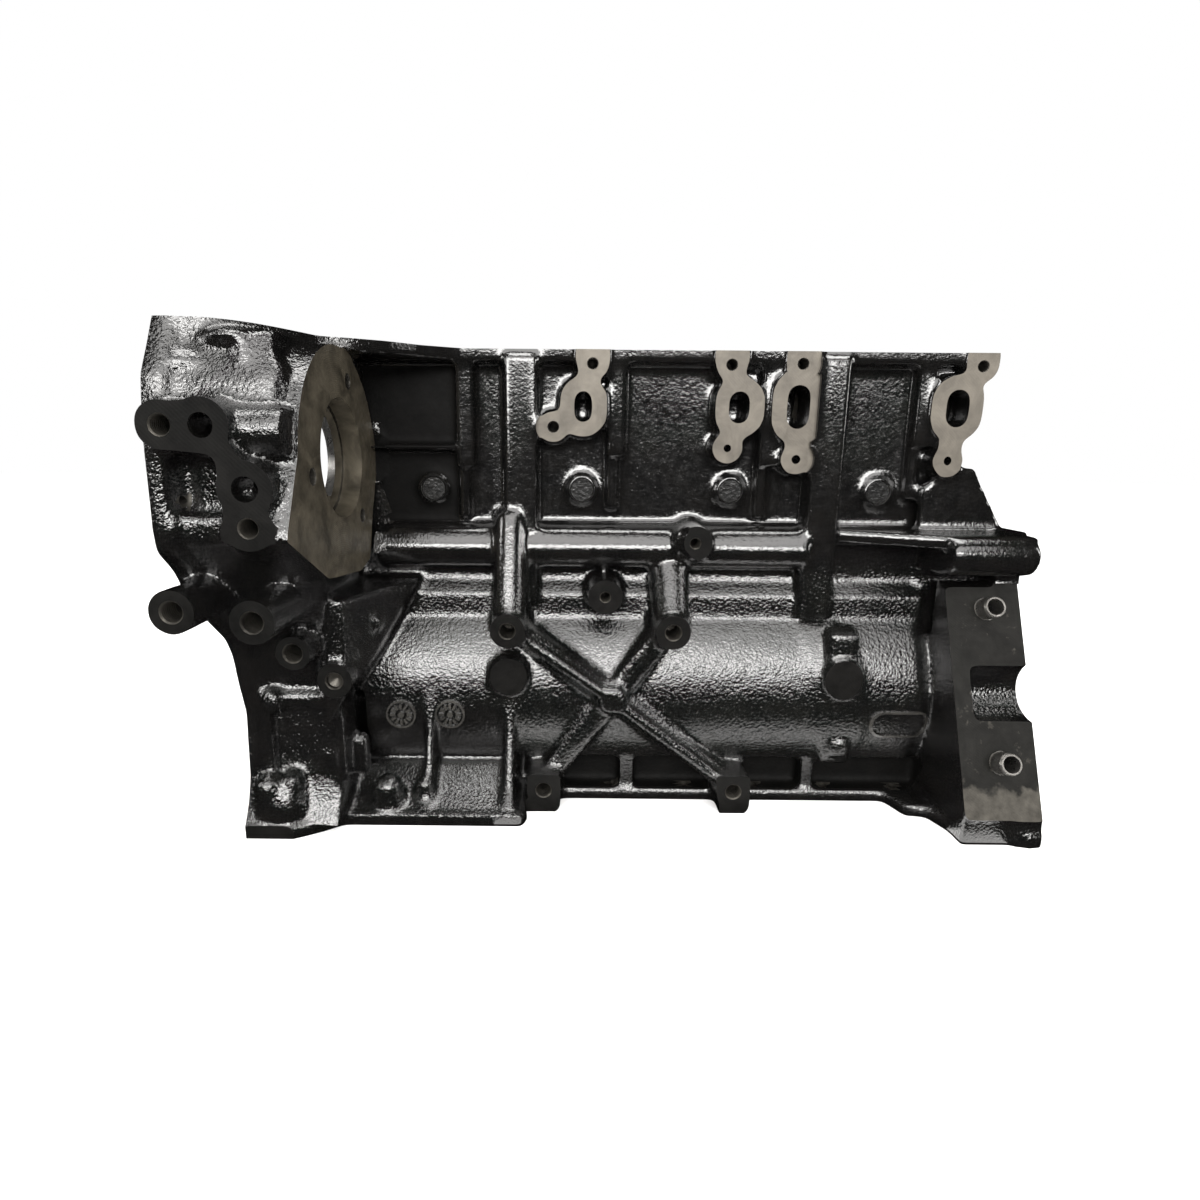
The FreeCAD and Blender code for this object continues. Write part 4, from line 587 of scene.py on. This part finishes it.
join_into(casting, to_object(extra, "fills"))
apply_modifier(casting, "REMESH", mode="VOXEL", voxel_size=VOXEL, use_smooth_shade=True)
print("remeshed:", len(casting.data.polygons))
apply_modifier(casting, "SMOOTH", factor=0.5, iterations=CAST_SMOOTHING)
soft = casting.vertex_groups.new(name="soft_case")
soft.add([v.index for v in casting.data.vertices
          if v.co.x < CASE_RIGHT and CASE_FRONT < v.co.y < CASE_BACK and v.co.z > CASE_FOOT], 1.0, "REPLACE")
apply_modifier(casting, "SMOOTH", factor=0.5, iterations=CASE_SMOOTHING, vertex_group="soft_case")
apply_modifier(casting, "DECIMATE", ratio=SKIN_TRIANGLES / (2 * len(casting.data.polygons)))
print("decimated:", len(casting.data.polygons))

# %% [markdown]
# ## Milling
# A milled face is flat to a few hundredths, so it is cut when the skin is done, with a sharp edge
# where it meets the rough skin. Each cutter is the face's own outline, made a little wider and
# pushed outwards. The port pads and the pump flange have narrow inner corners, where a wide outline
# would cross itself, so theirs grows less. The ears of the front pads are milled in one sweep, and
# each end of the block with a square larger than the block.

# %% Mill the faces
MILL_MARGIN = 3 * MM
SMALL_MARGIN = {"port_pads": 1.2 * MM, "pump_flange": 1.6 * MM}
CUT_HEIGHT = 10 * MM
END_PLANES = ("timing_face", "bell_face", "deck", "sump_face")
END_REACH = 600 * MM


def widened(loop, normal, margin):
    """A loop moved outwards in its own plane."""
    points = [p for i, p in enumerate(loop) if (p - loop[i - 1]).length > 1e-6]
    area = sum((points[i - 1].cross(points[i]) for i in range(len(points))), Vector())
    turn = 1 if area.dot(normal) > 0 else -1
    wide = []
    for i, p in enumerate(points):
        before = (p - points[i - 1]).normalized()
        after = (points[(i + 1) % len(points)] - p).normalized()
        out = ((before + after).normalized().cross(normal)) * turn
        stretch = max(0.5, math.sqrt(max(0, (1 + before.dot(after)) / 2)))
        wide.append(p + out * margin / stretch)
    return wide


def outer_hull(loop, normal):
    """The outline of a sheet stretched round a loop."""
    first, second = across(normal)
    points = sorted(loop, key=lambda p: (round(p.dot(first), 7), p.dot(second)))
    hull = []
    for line in (points, points[::-1]):
        side = []
        for p in line:
            while len(side) > 1 and (side[-1] - side[-2]).cross(p - side[-1]).dot(first.cross(second)) <= 0:
                side.pop()
            side.append(p)
        hull += side[:-1]
    return hull


def mill_outline(name, loop, normal):
    """What the mill has to sweep on a face."""
    if name in END_PLANES:
        return ring(normal * MACHINED[name][1] * MM, normal, END_REACH, 4)
    if name == "front_pads":
        return outer_hull(loop, normal)
    return round_face(sum(loop, Vector()) / len(loop), normal) or loop


for name, islands in planes.items():
    normal = Vector(MACHINED[name][0]).normalized()
    before = len(casting.data.polygons)
    for faces, loops in islands:
        mill = bmesh.new()
        outline = mill_outline(name, loops[0], normal)
        outline = widened(outline, normal, SMALL_MARGIN.get(name, MILL_MARGIN))
        add_prism(mill, outline, normal * CUT_HEIGHT)
        cut_away(casting, mill, "mill")
    print("milled", name, before, "to", len(casting.data.polygons))
mill = bmesh.new()
add_prism(mill, ring(EAR, (0, -1, 0), EAR_RADIUS + MILL_MARGIN, 40), Vector((0, -CUT_HEIGHT, 0)))
cut_away(casting, mill, "mill")
print("milled the ear:", len(casting.data.polygons))

# %% [markdown]
# ## Drilling and tapping
# A drill leaves a chamfer at the mouth, a straight wall and a pointed end, so the cutter is one
# turned shape with these in its profile. Tapped holes show the first turns of their thread. They
# are plain ridges here, which look the same as a thread at the bottom of a dark hole.

# %% Drill the holes
CHAMFER = 0.8 * MM
TAPPED = ("front_pads", "bracket_bosses", "single_bosses", "passage_boss")
PITCH, RIDGE, THREAD_LENGTH = 1.5 * MM, 0.4 * MM, 13 * MM

drills = bmesh.new()
for name, centre, normal, radius, depth in holes:
    chamfer = min(CHAMFER, radius * 0.15)
    profile = [(-CUT_HEIGHT, radius + chamfer), (0, radius + chamfer), (chamfer, radius)]
    while name in TAPPED and profile[-1][0] < min(depth - PITCH, THREAD_LENGTH):
        profile += [(profile[-1][0] + PITCH / 2, radius + RIDGE), (profile[-1][0] + PITCH, radius)]
    profile += [(depth, radius), (depth + radius * 0.5, radius * 0.1)]
    add_lathe(drills, centre, -normal, profile, 36)
cut_away(casting, drills, "drills")
print("drilled:", len(casting.data.polygons))

# %% [markdown]
# ## Boring
# The round cuts and the seats of the bearing caps come last. Each round cut is a boolean of its
# own, because cutters that overlap inside one mesh leave thin walls between them.

# %% Bore the round cuts and mill the cap seats
for axis, centre, radius, span, fill in ROUND_CUTS:
    boring_bar = bmesh.new()
    start, along = round_ends(axis, centre, span)
    add_rod(boring_bar, start, along, (span[1] - span[0]) * MM, radius * MM, sides=96)
    cut_away(casting, boring_bar, "round_cut")
seats = bmesh.new()
for low, high in CAP_SEATS:
    add_box(seats, low, high)
cut_away(casting, seats, "seats")
print("bored:", len(casting.data.polygons))
bm.free()

# %% [markdown]
# ## Marks of the foundry
# Two small dials and a raised oval frame stand on the barrel. They are hardly two millimetres
# high, too fine for the melted skin, so they are laid on it afterwards, and each of their points is
# set on the barrel with a level ray. The dials get a border, twelve ticks and a dot.

# %% Lay the dials and the oval frame on the barrel
MARK_ROOT = -1.5
DIALS = ((-178.5, 5.2), (-143.8, 5.6))
DIAL_RADIUS, DIAL_BORDER, DIAL_HEIGHT, DOT_RADIUS, DOT_HEIGHT = 10.6, 1.4, 1.7, 2.2, 2.0
TICK = ((4.2, -0.19), (7.9, -0.12), (7.9, 0.12), (4.2, 0.19))
OVAL_X, OVAL_Z, OVAL_REACH, OVAL_RADIUS, OVAL_BORDER, OVAL_HEIGHT = 175.5, 0.7, 12, 10, 2.2, 1.8


def on_barrel(x, z, out):
    """A point that stands out of the near side of the barrel, found with a level ray."""
    hit = block_tree.ray_cast(mm(x, -300, z), Vector((0, 1, 0)))[0]
    return hit - mm(0, out, 0)


def add_patch(bm, outline, out):
    """A raised plate inside an outline."""
    low = [bm.verts.new(on_barrel(x, z, MARK_ROOT)) for x, z in outline]
    high = [bm.verts.new(on_barrel(x, z, out)) for x, z in outline]
    bm.faces.new(low)
    bm.faces.new(high[::-1])
    for i in range(len(low)):
        j = (i + 1) % len(low)
        bm.faces.new((low[j], low[i], high[i], high[j]))


def add_band(bm, line, width, out):
    """A raised closed band. The line lists the points of its outer edge, round their middle."""
    middle = Vector((sum(p[0] for p in line), sum(p[1] for p in line))) / len(line)
    inner = [tuple(Vector(p) - (Vector(p) - middle).normalized() * width) for p in line]
    rows = [[bm.verts.new(on_barrel(x, z, h)) for x, z in points]
            for points, h in ((line, MARK_ROOT), (line, out), (inner, out), (inner, MARK_ROOT))]
    for low, high in zip(rows, rows[1:] + rows[:1]):
        for i in range(len(low)):
            j = (i + 1) % len(low)
            bm.faces.new((low[i], low[j], high[j], high[i]))


def turned(x, z, radius, angle):
    """The point at a clock angle and a radius round a middle."""
    return x + radius * math.sin(angle), z + radius * math.cos(angle)


marks = bmesh.new()
for x, z in DIALS:
    border = [turned(x, z, DIAL_RADIUS, i * math.pi / 20) for i in range(40)]
    add_band(marks, border, DIAL_BORDER, DIAL_HEIGHT)
    add_patch(marks, [turned(x, z, DOT_RADIUS, i * math.pi / 8) for i in range(16)], DOT_HEIGHT)
    for hour in range(12):
        angle = hour * math.pi / 6
        add_patch(marks, [turned(x, z, r, angle + turn) for r, turn in TICK], DIAL_HEIGHT)
oval = []
for i in range(64):
    angle = i * math.pi / 32
    reach = OVAL_REACH if math.cos(angle) > 0 else -OVAL_REACH
    oval.append((OVAL_X + reach + OVAL_RADIUS * math.cos(angle), OVAL_Z + OVAL_RADIUS * math.sin(angle)))
add_band(marks, oval, OVAL_BORDER, OVAL_HEIGHT)
raised = to_object(marks, "marks")
MARK_FACES = len(raised.data.polygons)
join_into(casting, raised)
print("with marks:", len(casting.data.polygons))
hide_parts("cylinder_block")
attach(casting, "root")

# %% [markdown]
# ## Paint and metal
# The whole casting was sprayed gloss black. Under the paint the sand skin still shows as a fine
# leathery grain, so the paint gets several noises at different sizes that only bend the light.
# Faces cut after painting are bare metal, with the marks of the tool that cut them.

# %% Material helpers


def new_material(name):
    """A material with a Principled shader. Returns it with its nodes, links and shader."""
    material = bpy.data.materials.new(name)
    material.use_nodes = True
    tree = material.node_tree
    return material, tree.nodes, tree.links, tree.nodes["Principled BSDF"]


def object_place(nodes):
    """Where a point lies on the object itself."""
    return nodes.new("ShaderNodeTexCoord").outputs["Object"]


def noise(nodes, links, vector, scale, detail=3.0, rough=0.5, distort=0.0):
    """A cloudy pattern. Scale is the number of clouds to a metre."""
    node = nodes.new("ShaderNodeTexNoise")
    node.inputs["Scale"].default_value = scale
    node.inputs["Detail"].default_value = detail
    node.inputs["Roughness"].default_value = rough
    node.inputs["Distortion"].default_value = distort
    links.new(vector, node.inputs["Vector"])
    return node.outputs["Fac"]


def ramp(nodes, links, value, stops):
    """A colour ramp. The stops list (place, colour)."""
    node = nodes.new("ShaderNodeValToRGB")
    while len(node.color_ramp.elements) < len(stops):
        node.color_ramp.elements.new(0.5)
    for element, (place, colour) in zip(node.color_ramp.elements, stops):
        element.position = place
        element.color = (*colour, 1)
    links.new(value, node.inputs["Fac"])
    return node.outputs["Color"]


def grey(value):
    """A colour without a hue."""
    return (value, value, value)


def bump(nodes, links, height, distance, strength, below=None):
    """A bump whose distance is in millimetres. below is the bump under it."""
    node = nodes.new("ShaderNodeBump")
    node.inputs["Strength"].default_value = strength
    node.inputs["Distance"].default_value = distance * MM
    links.new(height, node.inputs["Height"])
    if below:
        links.new(below, node.inputs["Normal"])
    return node.outputs["Normal"]


def arithmetic(nodes, links, kind, first, second):
    """A sum, a product or the like of two values, each a number or a socket."""
    node = nodes.new("ShaderNodeMath")
    node.operation = kind
    for socket, value in zip(node.inputs, (first, second)):
        if hasattr(value, "is_output"):
            links.new(value, socket)
        else:
            socket.default_value = value
    return node.outputs["Value"]


def blend_over(nodes, links, value, limits, results):
    """Runs from one number to another while a value passes between two limits."""
    node = nodes.new("ShaderNodeMapRange")
    for name, number in zip(("From Min", "From Max", "To Min", "To Max"), (*limits, *results)):
        node.inputs[name].default_value = number
    links.new(value, node.inputs["Value"])
    return node.outputs["Result"]


def part_of_place(nodes, links, where, letter):
    """One coordinate of a place."""
    split = nodes.new("ShaderNodeSeparateXYZ")
    links.new(where, split.inputs["Vector"])
    return split.outputs[letter]


print("material helpers ready")

# %% [markdown]
# ### Gloss black over sand-cast skin
# Three sizes of grain add up to one height: shallow dents two centimetres across, leathery pebbles
# of two millimetres, and the fine orange peel of the spray. The barrel and the gear case keep the
# full grain. The upright wall came out of a smoother part of the mould and gets less of it.

# %% Make the casting paint
# Each grain has a scale, a roughness and a share of the height.
DENTS, PEBBLES, PEEL = (60, 0.5, 0.55), (520, 0.55, 0.68), (1100, 0.6, 0.05)
WALL_FOOT, CASE_END = (0.09, 0.13), (-0.20, -0.18)
GRAIN_HEIGHT = 0.8


def casting_paint(name, dark, light, rough, grain, wall=0.3):
    """Paint over cast skin. wall is the share of the grain that the upright wall keeps."""
    material, nodes, links, shader = new_material(name)
    where = object_place(nodes)
    above = blend_over(nodes, links, part_of_place(nodes, links, where, "Z"), WALL_FOOT, (1.0, wall))
    ahead = blend_over(nodes, links, part_of_place(nodes, links, where, "X"), CASE_END, (1.0, wall))
    full = arithmetic(nodes, links, "MAXIMUM", above, ahead)
    dents, pebbles, peel = (
        arithmetic(nodes, links, "MULTIPLY", noise(nodes, links, where, scale, 2, roughness), weight)
        for scale, roughness, weight in (DENTS, PEBBLES, PEEL))
    cast = arithmetic(nodes, links, "MULTIPLY", arithmetic(nodes, links, "ADD", dents, pebbles), full)
    height = arithmetic(nodes, links, "ADD", cast, peel)
    links.new(bump(nodes, links, height, GRAIN_HEIGHT * grain, 1.0), shader.inputs["Normal"])
    tint = noise(nodes, links, where, 60, 4, 0.6)
    links.new(ramp(nodes, links, tint, [(0.3, dark), (0.75, light)]), shader.inputs["Base Color"])
    gloss = noise(nodes, links, where, 210, 3, 0.5)
    links.new(ramp(nodes, links, gloss, [(0.3, grey(rough - 0.03)), (0.7, grey(rough + 0.05))]),
              shader.inputs["Roughness"])
    shader.inputs["Specular IOR Level"].default_value = 1.0
    return material


gloss_black = casting_paint("gloss_black", (0.0024, 0.0024, 0.0024), (0.0046, 0.0043, 0.0039), 0.13, 1.0)
cap_iron = casting_paint("cap_iron", (0.075, 0.07, 0.065), (0.13, 0.122, 0.112), 0.55, 0.6)
plug_black = casting_paint("plug_black", (0.0028, 0.0028, 0.0027), (0.006, 0.0057, 0.0052), 0.22, 0.7, 0.6)
# Painted shade: a darker, matt black for the rail's windows and the wall cell beside the pump flange, in
# place of the shade that falls there.
painted_shade_black = casting_paint("painted_shade_black", (0.0012, 0.0012, 0.0011), (0.003, 0.0028, 0.0025), 0.6, 0.6)
# The raised marks get a lighter black. This is partly paint worn thin on them and partly a painted highlight
# that lifts them out of the dark.
mark_thin_paint_and_highlight = casting_paint("mark_thin_paint_and_highlight", (0.012, 0.0115, 0.0105), (0.035, 0.033, 0.029), 0.24, 0.25)
print("cast finishes:", gloss_black.name, cap_iron.name, plug_black.name, painted_shade_black.name, mark_thin_paint_and_highlight.name)

# %% [markdown]
# ### Cut faces
# Bosses were milled before the last coat, so they are flat and dull black. The port pads were
# masked and show grey-beige iron. A face mill leaves shallow arcs, and a lathe leaves rings round
# its centre. Stains darken the metal in large soft patches.

# %% Make the cut-face materials
FULL_TURN = 6.28


def ring_marks(nodes, links, where, scale, centre, axis):
    """Rings round a centre, seen along an axis."""
    shift = nodes.new("ShaderNodeVectorMath")
    shift.operation = "SUBTRACT"
    shift.inputs[1].default_value = centre
    links.new(where, shift.inputs[0])
    flat = nodes.new("ShaderNodeVectorMath")
    flat.operation = "MULTIPLY"
    flat.inputs[1].default_value = [float(i != axis) for i in range(3)]
    links.new(shift.outputs["Vector"], flat.inputs[0])
    far = nodes.new("ShaderNodeVectorMath")
    far.operation = "LENGTH"
    links.new(flat.outputs["Vector"], far.inputs[0])
    waves = arithmetic(nodes, links, "MULTIPLY", far.outputs["Value"], scale * FULL_TURN)
    return arithmetic(nodes, links, "SINE", waves, 0.0)


def feed_marks(nodes, links, where, scale):
    """The nearly straight lines of a face mill."""
    lines = nodes.new("ShaderNodeTexWave")
    lines.wave_type = "BANDS"
    lines.bands_direction = "DIAGONAL"
    for socket, value in (("Scale", scale), ("Distortion", 2.0), ("Detail", 2.0), ("Detail Scale", 1.5)):
        lines.inputs[socket].default_value = value
    links.new(where, lines.inputs["Vector"])
    return lines.outputs["Fac"]


def cut_face(name, colours, rough, metallic, mark_scale, mark_depth, centre=None, axis=0):
    """Metal with tool marks: straight feed lines, or rings round a centre."""
    material, nodes, links, shader = new_material(name)
    where = object_place(nodes)
    if centre is None:
        marks = feed_marks(nodes, links, where, mark_scale)
    else:
        marks = ring_marks(nodes, links, where, mark_scale, centre, axis)
    grain = noise(nodes, links, where, 1300, 3, 0.6)
    low = bump(nodes, links, marks, mark_depth, 0.6)
    links.new(bump(nodes, links, grain, 0.05, 0.5, low), shader.inputs["Normal"])
    stain = noise(nodes, links, where, 55, 5, 0.65, 0.6)
    links.new(ramp(nodes, links, stain, [(0.32, colours[0]), (0.68, colours[1])]),
              shader.inputs["Base Color"])
    sheen = noise(nodes, links, where, 260, 4, 0.6)
    links.new(ramp(nodes, links, sheen, [(0.3, grey(rough - 0.07)), (0.7, grey(rough + 0.1))]),
              shader.inputs["Roughness"])
    shader.inputs["Metallic"].default_value = metallic
    return material


PUMP_CENTRE = mm(-197, *PUMP_AXIS)
dull_black = cut_face("dull_black", ((0.002, 0.002, 0.0018), (0.0052, 0.005, 0.0045)), 0.48, 0.0, 260, 0.03)
pad_beige = cut_face("pad_beige", ((0.062, 0.054, 0.043), (0.112, 0.099, 0.080)), 0.5, 0.25, 300, 0.03)
pump_bronze = cut_face("pump_bronze", ((0.034, 0.029, 0.020), (0.10, 0.086, 0.062)), 0.42, 0.5, 900, 0.03,
                       PUMP_CENTRE, 0)
milled_iron = cut_face("milled_iron", ((0.25, 0.245, 0.235), (0.36, 0.35, 0.335)), 0.4, 0.75, 210, 0.04)
bored_iron = cut_face("bored_iron", ((0.28, 0.275, 0.265), (0.4, 0.39, 0.375)), 0.3, 0.85, 420, 0.03)
# The hole walls get a dark steel colour that is painted shade: it stands in for the shade inside the holes.
thread_painted_shade = cut_face("thread_painted_shade", ((0.02, 0.019, 0.017), (0.10, 0.093, 0.08)), 0.35, 0.8, 420, 0.06)
black_oxide = cut_face("black_oxide", ((0.02, 0.02, 0.021), (0.045, 0.043, 0.04)), 0.35, 0.5, 500, 0.02)
ground_steel = cut_face("ground_steel", ((0.10, 0.096, 0.088), (0.26, 0.25, 0.235)), 0.3, 0.9, 700, 0.015)
# Both lose most of their reflection. For the painted shade black, this is part of the painted shade.
for matt in (dull_black, painted_shade_black):
    matt.node_tree.nodes["Principled BSDF"].inputs["Specular IOR Level"].default_value = 0.08
print("cut finishes:", dull_black.name, pad_beige.name, pump_bronze.name, milled_iron.name, bored_iron.name)

# %% [markdown]
# ### The worn pad
# The leaning pad is dull black too, but its lower end is rubbed towards bare iron, with a few loose
# patches above. The border of the wear is the crankshaft's height plus a noise, so it runs
# unevenly. A Mix node lays the worn colour over the fresh one.

# %% Make the worn pad's material
FRESH = ((0.004, 0.0039, 0.0033), (0.009, 0.0087, 0.0076))
WORN = ((0.024, 0.022, 0.0185), (0.05, 0.046, 0.039))
WEAR_EDGE, WEAR_SWAY = (0.0, 0.004), 0.05
COLOUR_BELOW, COLOUR_ABOVE, MIXED_COLOUR = 6, 7, 2


def worn_face(name, fresh, worn):
    """A dull black cut face whose lower end is rubbed to bare iron along an uneven line."""
    material = cut_face(name, fresh, 0.5, 0.0, 260, 0.03)
    nodes, links = material.node_tree.nodes, material.node_tree.links
    shader = nodes["Principled BSDF"]
    where = object_place(nodes)
    sway = arithmetic(nodes, links, "MULTIPLY", noise(nodes, links, where, 38, 4, 0.6), WEAR_SWAY)
    height = arithmetic(nodes, links, "ADD", part_of_place(nodes, links, where, "Z"), sway)
    rubbed = blend_over(nodes, links, height, WEAR_EDGE, (1.0, 0.0))
    spots = noise(nodes, links, where, 120, 5, 0.7)
    patches = ramp(nodes, links, spots, [(0.60, grey(0.0)), (0.66, grey(0.6))])
    iron = ramp(nodes, links, noise(nodes, links, where, 160, 4, 0.6), [(0.3, worn[0]), (0.7, worn[1])])
    mix = nodes.new("ShaderNodeMix")
    mix.data_type = "RGBA"
    links.new(arithmetic(nodes, links, "MAXIMUM", rubbed, patches), mix.inputs["Factor"])
    links.new(shader.inputs["Base Color"].links[0].from_socket, mix.inputs[COLOUR_BELOW])
    links.new(iron, mix.inputs[COLOUR_ABOVE])
    links.new(mix.outputs[MIXED_COLOUR], shader.inputs["Base Color"])
    shader.inputs["Specular IOR Level"].default_value = 0.1
    return material


pad_worn = worn_face("pad_worn", FRESH, WORN)
print("materials:", len(bpy.data.materials))

# %% [markdown]
# ## Give each face its finish
# A mesh can hold several materials, and each of its faces names one by its number. The milled
# planes, the bored cuts and the holes are known, so each face of the casting can be asked where it
# lies. What lies on none of them is cast skin and stays gloss black.

# %% List the finishes and measure the faces
FINISHES = [gloss_black, dull_black, pad_beige, pump_bronze, milled_iron, bored_iron, thread_painted_shade,
            painted_shade_black, pad_worn, mark_thin_paint_and_highlight]
SLOT = {material.name: i for i, material in enumerate(FINISHES)}
PLANE_FINISH = {"port_pads": "pad_beige", "pump_flange": "pump_bronze", "leaning_pad": "pad_worn"}
for name in (*END_PLANES, "engine_mount", "filter_pad"):
    PLANE_FINISH[name] = "milled_iron"
PLANE_SLACK, BORE_SLACK = 0.02 * MM, 0.25 * MM
mesh = casting.data
mesh.materials.clear()
for material in FINISHES:
    mesh.materials.append(material)
count = len(mesh.polygons)
centres, normals = np.empty(count * 3), np.empty(count * 3)
mesh.polygons.foreach_get("center", centres)
mesh.polygons.foreach_get("normal", normals)
centres, normals = centres.reshape(-1, 3), normals.reshape(-1, 3)
finish = np.zeros(count, dtype=np.int32)
print("faces to sort:", count)

# %% [markdown]
# ### Cut faces, holes and pockets
# Later rules paint over earlier ones: first the planes, then the bored walls, then the holes. The
# inner faces of the rail's windows and of the wall cell beside the pump flange get painted shade: a
# darker, matt black that stands in for the shade in the windows and the flange's shadow on the wall.
# The marks came last into the mesh, so they are its last faces.

# %% Sort the faces of the casting
for name, (normal, distance) in MACHINED.items():
    unit = np.array(Vector(normal).normalized())
    on_plane = (normals @ unit > FLAT) & (np.abs(centres @ unit - distance * MM) < PLANE_SLACK)
    finish[on_plane] = SLOT[PLANE_FINISH.get(name, "dull_black")]


def along_and_away(start, along):
    """How far each face lies along an axis, and how far from it."""
    offset = centres - start
    reach = offset @ along
    return reach, np.linalg.norm(offset - np.outer(reach, along), axis=1)


for axis, centre, radius, span, fill in ROUND_CUTS:
    start, along = (np.array(v) for v in round_ends(axis, centre, span))
    reach, away = along_and_away(start, along)
    inside = (reach > 0) & (reach < (span[1] - span[0]) * MM) & (np.abs(away - radius * MM) < BORE_SLACK)
    bored = SLOT["pump_bronze" if centre == PUMP_AXIS else "bored_iron"]
    finish[inside & (np.abs(normals @ along) < 0.1)] = bored
# The walls and ends of the holes take the dark steel of painted shade.
for name, centre, normal, radius, depth in holes:
    reach, away = along_and_away(np.array(centre), -np.array(normal))
    finish[(away < radius * 1.2) & (reach > PLANE_SLACK) & (reach < depth + radius)] = SLOT["thread_painted_shade"]

# Each box of painted shade: a low corner, a high corner, and how straight a face has to look at the near
# side.
PAINTED_SHADE_BOXES = [((-62, -95, -56), (205, -78.5, -30.5), 2),
           ((-193, -86, 140), (-139, -70, 249), -0.8)]
# Faces inside these boxes get the painted shade black, which stands in for the shade in the windows and the
# pump flange's shadow on the wall.
for low, high, most in PAINTED_SHADE_BOXES:
    inside = np.all((centres > np.array(low) * MM) & (centres < np.array(high) * MM), axis=1)
    finish[(finish == SLOT["gloss_black"]) & inside & (normals[:, 1] < most)] = SLOT["painted_shade_black"]
# The marks take the lighter black, partly thin paint and partly painted highlight.
finish[count - MARK_FACES:] = SLOT["mark_thin_paint_and_highlight"]
mesh.polygons.foreach_set("material_index", finish)
SHARP_EDGE = math.radians(32)
mesh.set_sharp_from_angle(angle=SHARP_EDGE)
print({name: int((finish == i).sum()) for name, i in SLOT.items()})

# %% [markdown]
# ## The carried-over pieces
# Bearing caps, bolts, core plugs, dowels and the gallery plug keep their CAD shapes, which are true
# to the real pieces, and only need their metal.

# %% Dress the other nodes
NODE_FINISH = {"main_cap_bolts": black_oxide, "gallery_plug": black_oxide, "main_cap_": cap_iron,
               "core_plug": plug_black, "ring_dowel": ground_steel}
for name, obj in frame["nodes"].items():
    if name != "cylinder_block":
        metal = next(metal for start, metal in NODE_FINISH.items() if name.startswith(start))
        obj.data.materials.clear()
        obj.data.materials.append(metal)
print("dressed:", len(frame["nodes"]) - 1)

# %% [markdown]
# ## Finish
# The CAD model's box and the visual model's box are both printed at the end. The visual model
# must stay inside the CAD model's box.

# %% Print the two boxes
low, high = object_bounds()
print("cad box:", [round(v / MM, 1) for v in (*cad_low, *cad_high)])
print("visual box:", [round(v / MM, 1) for v in (*low, *high)])
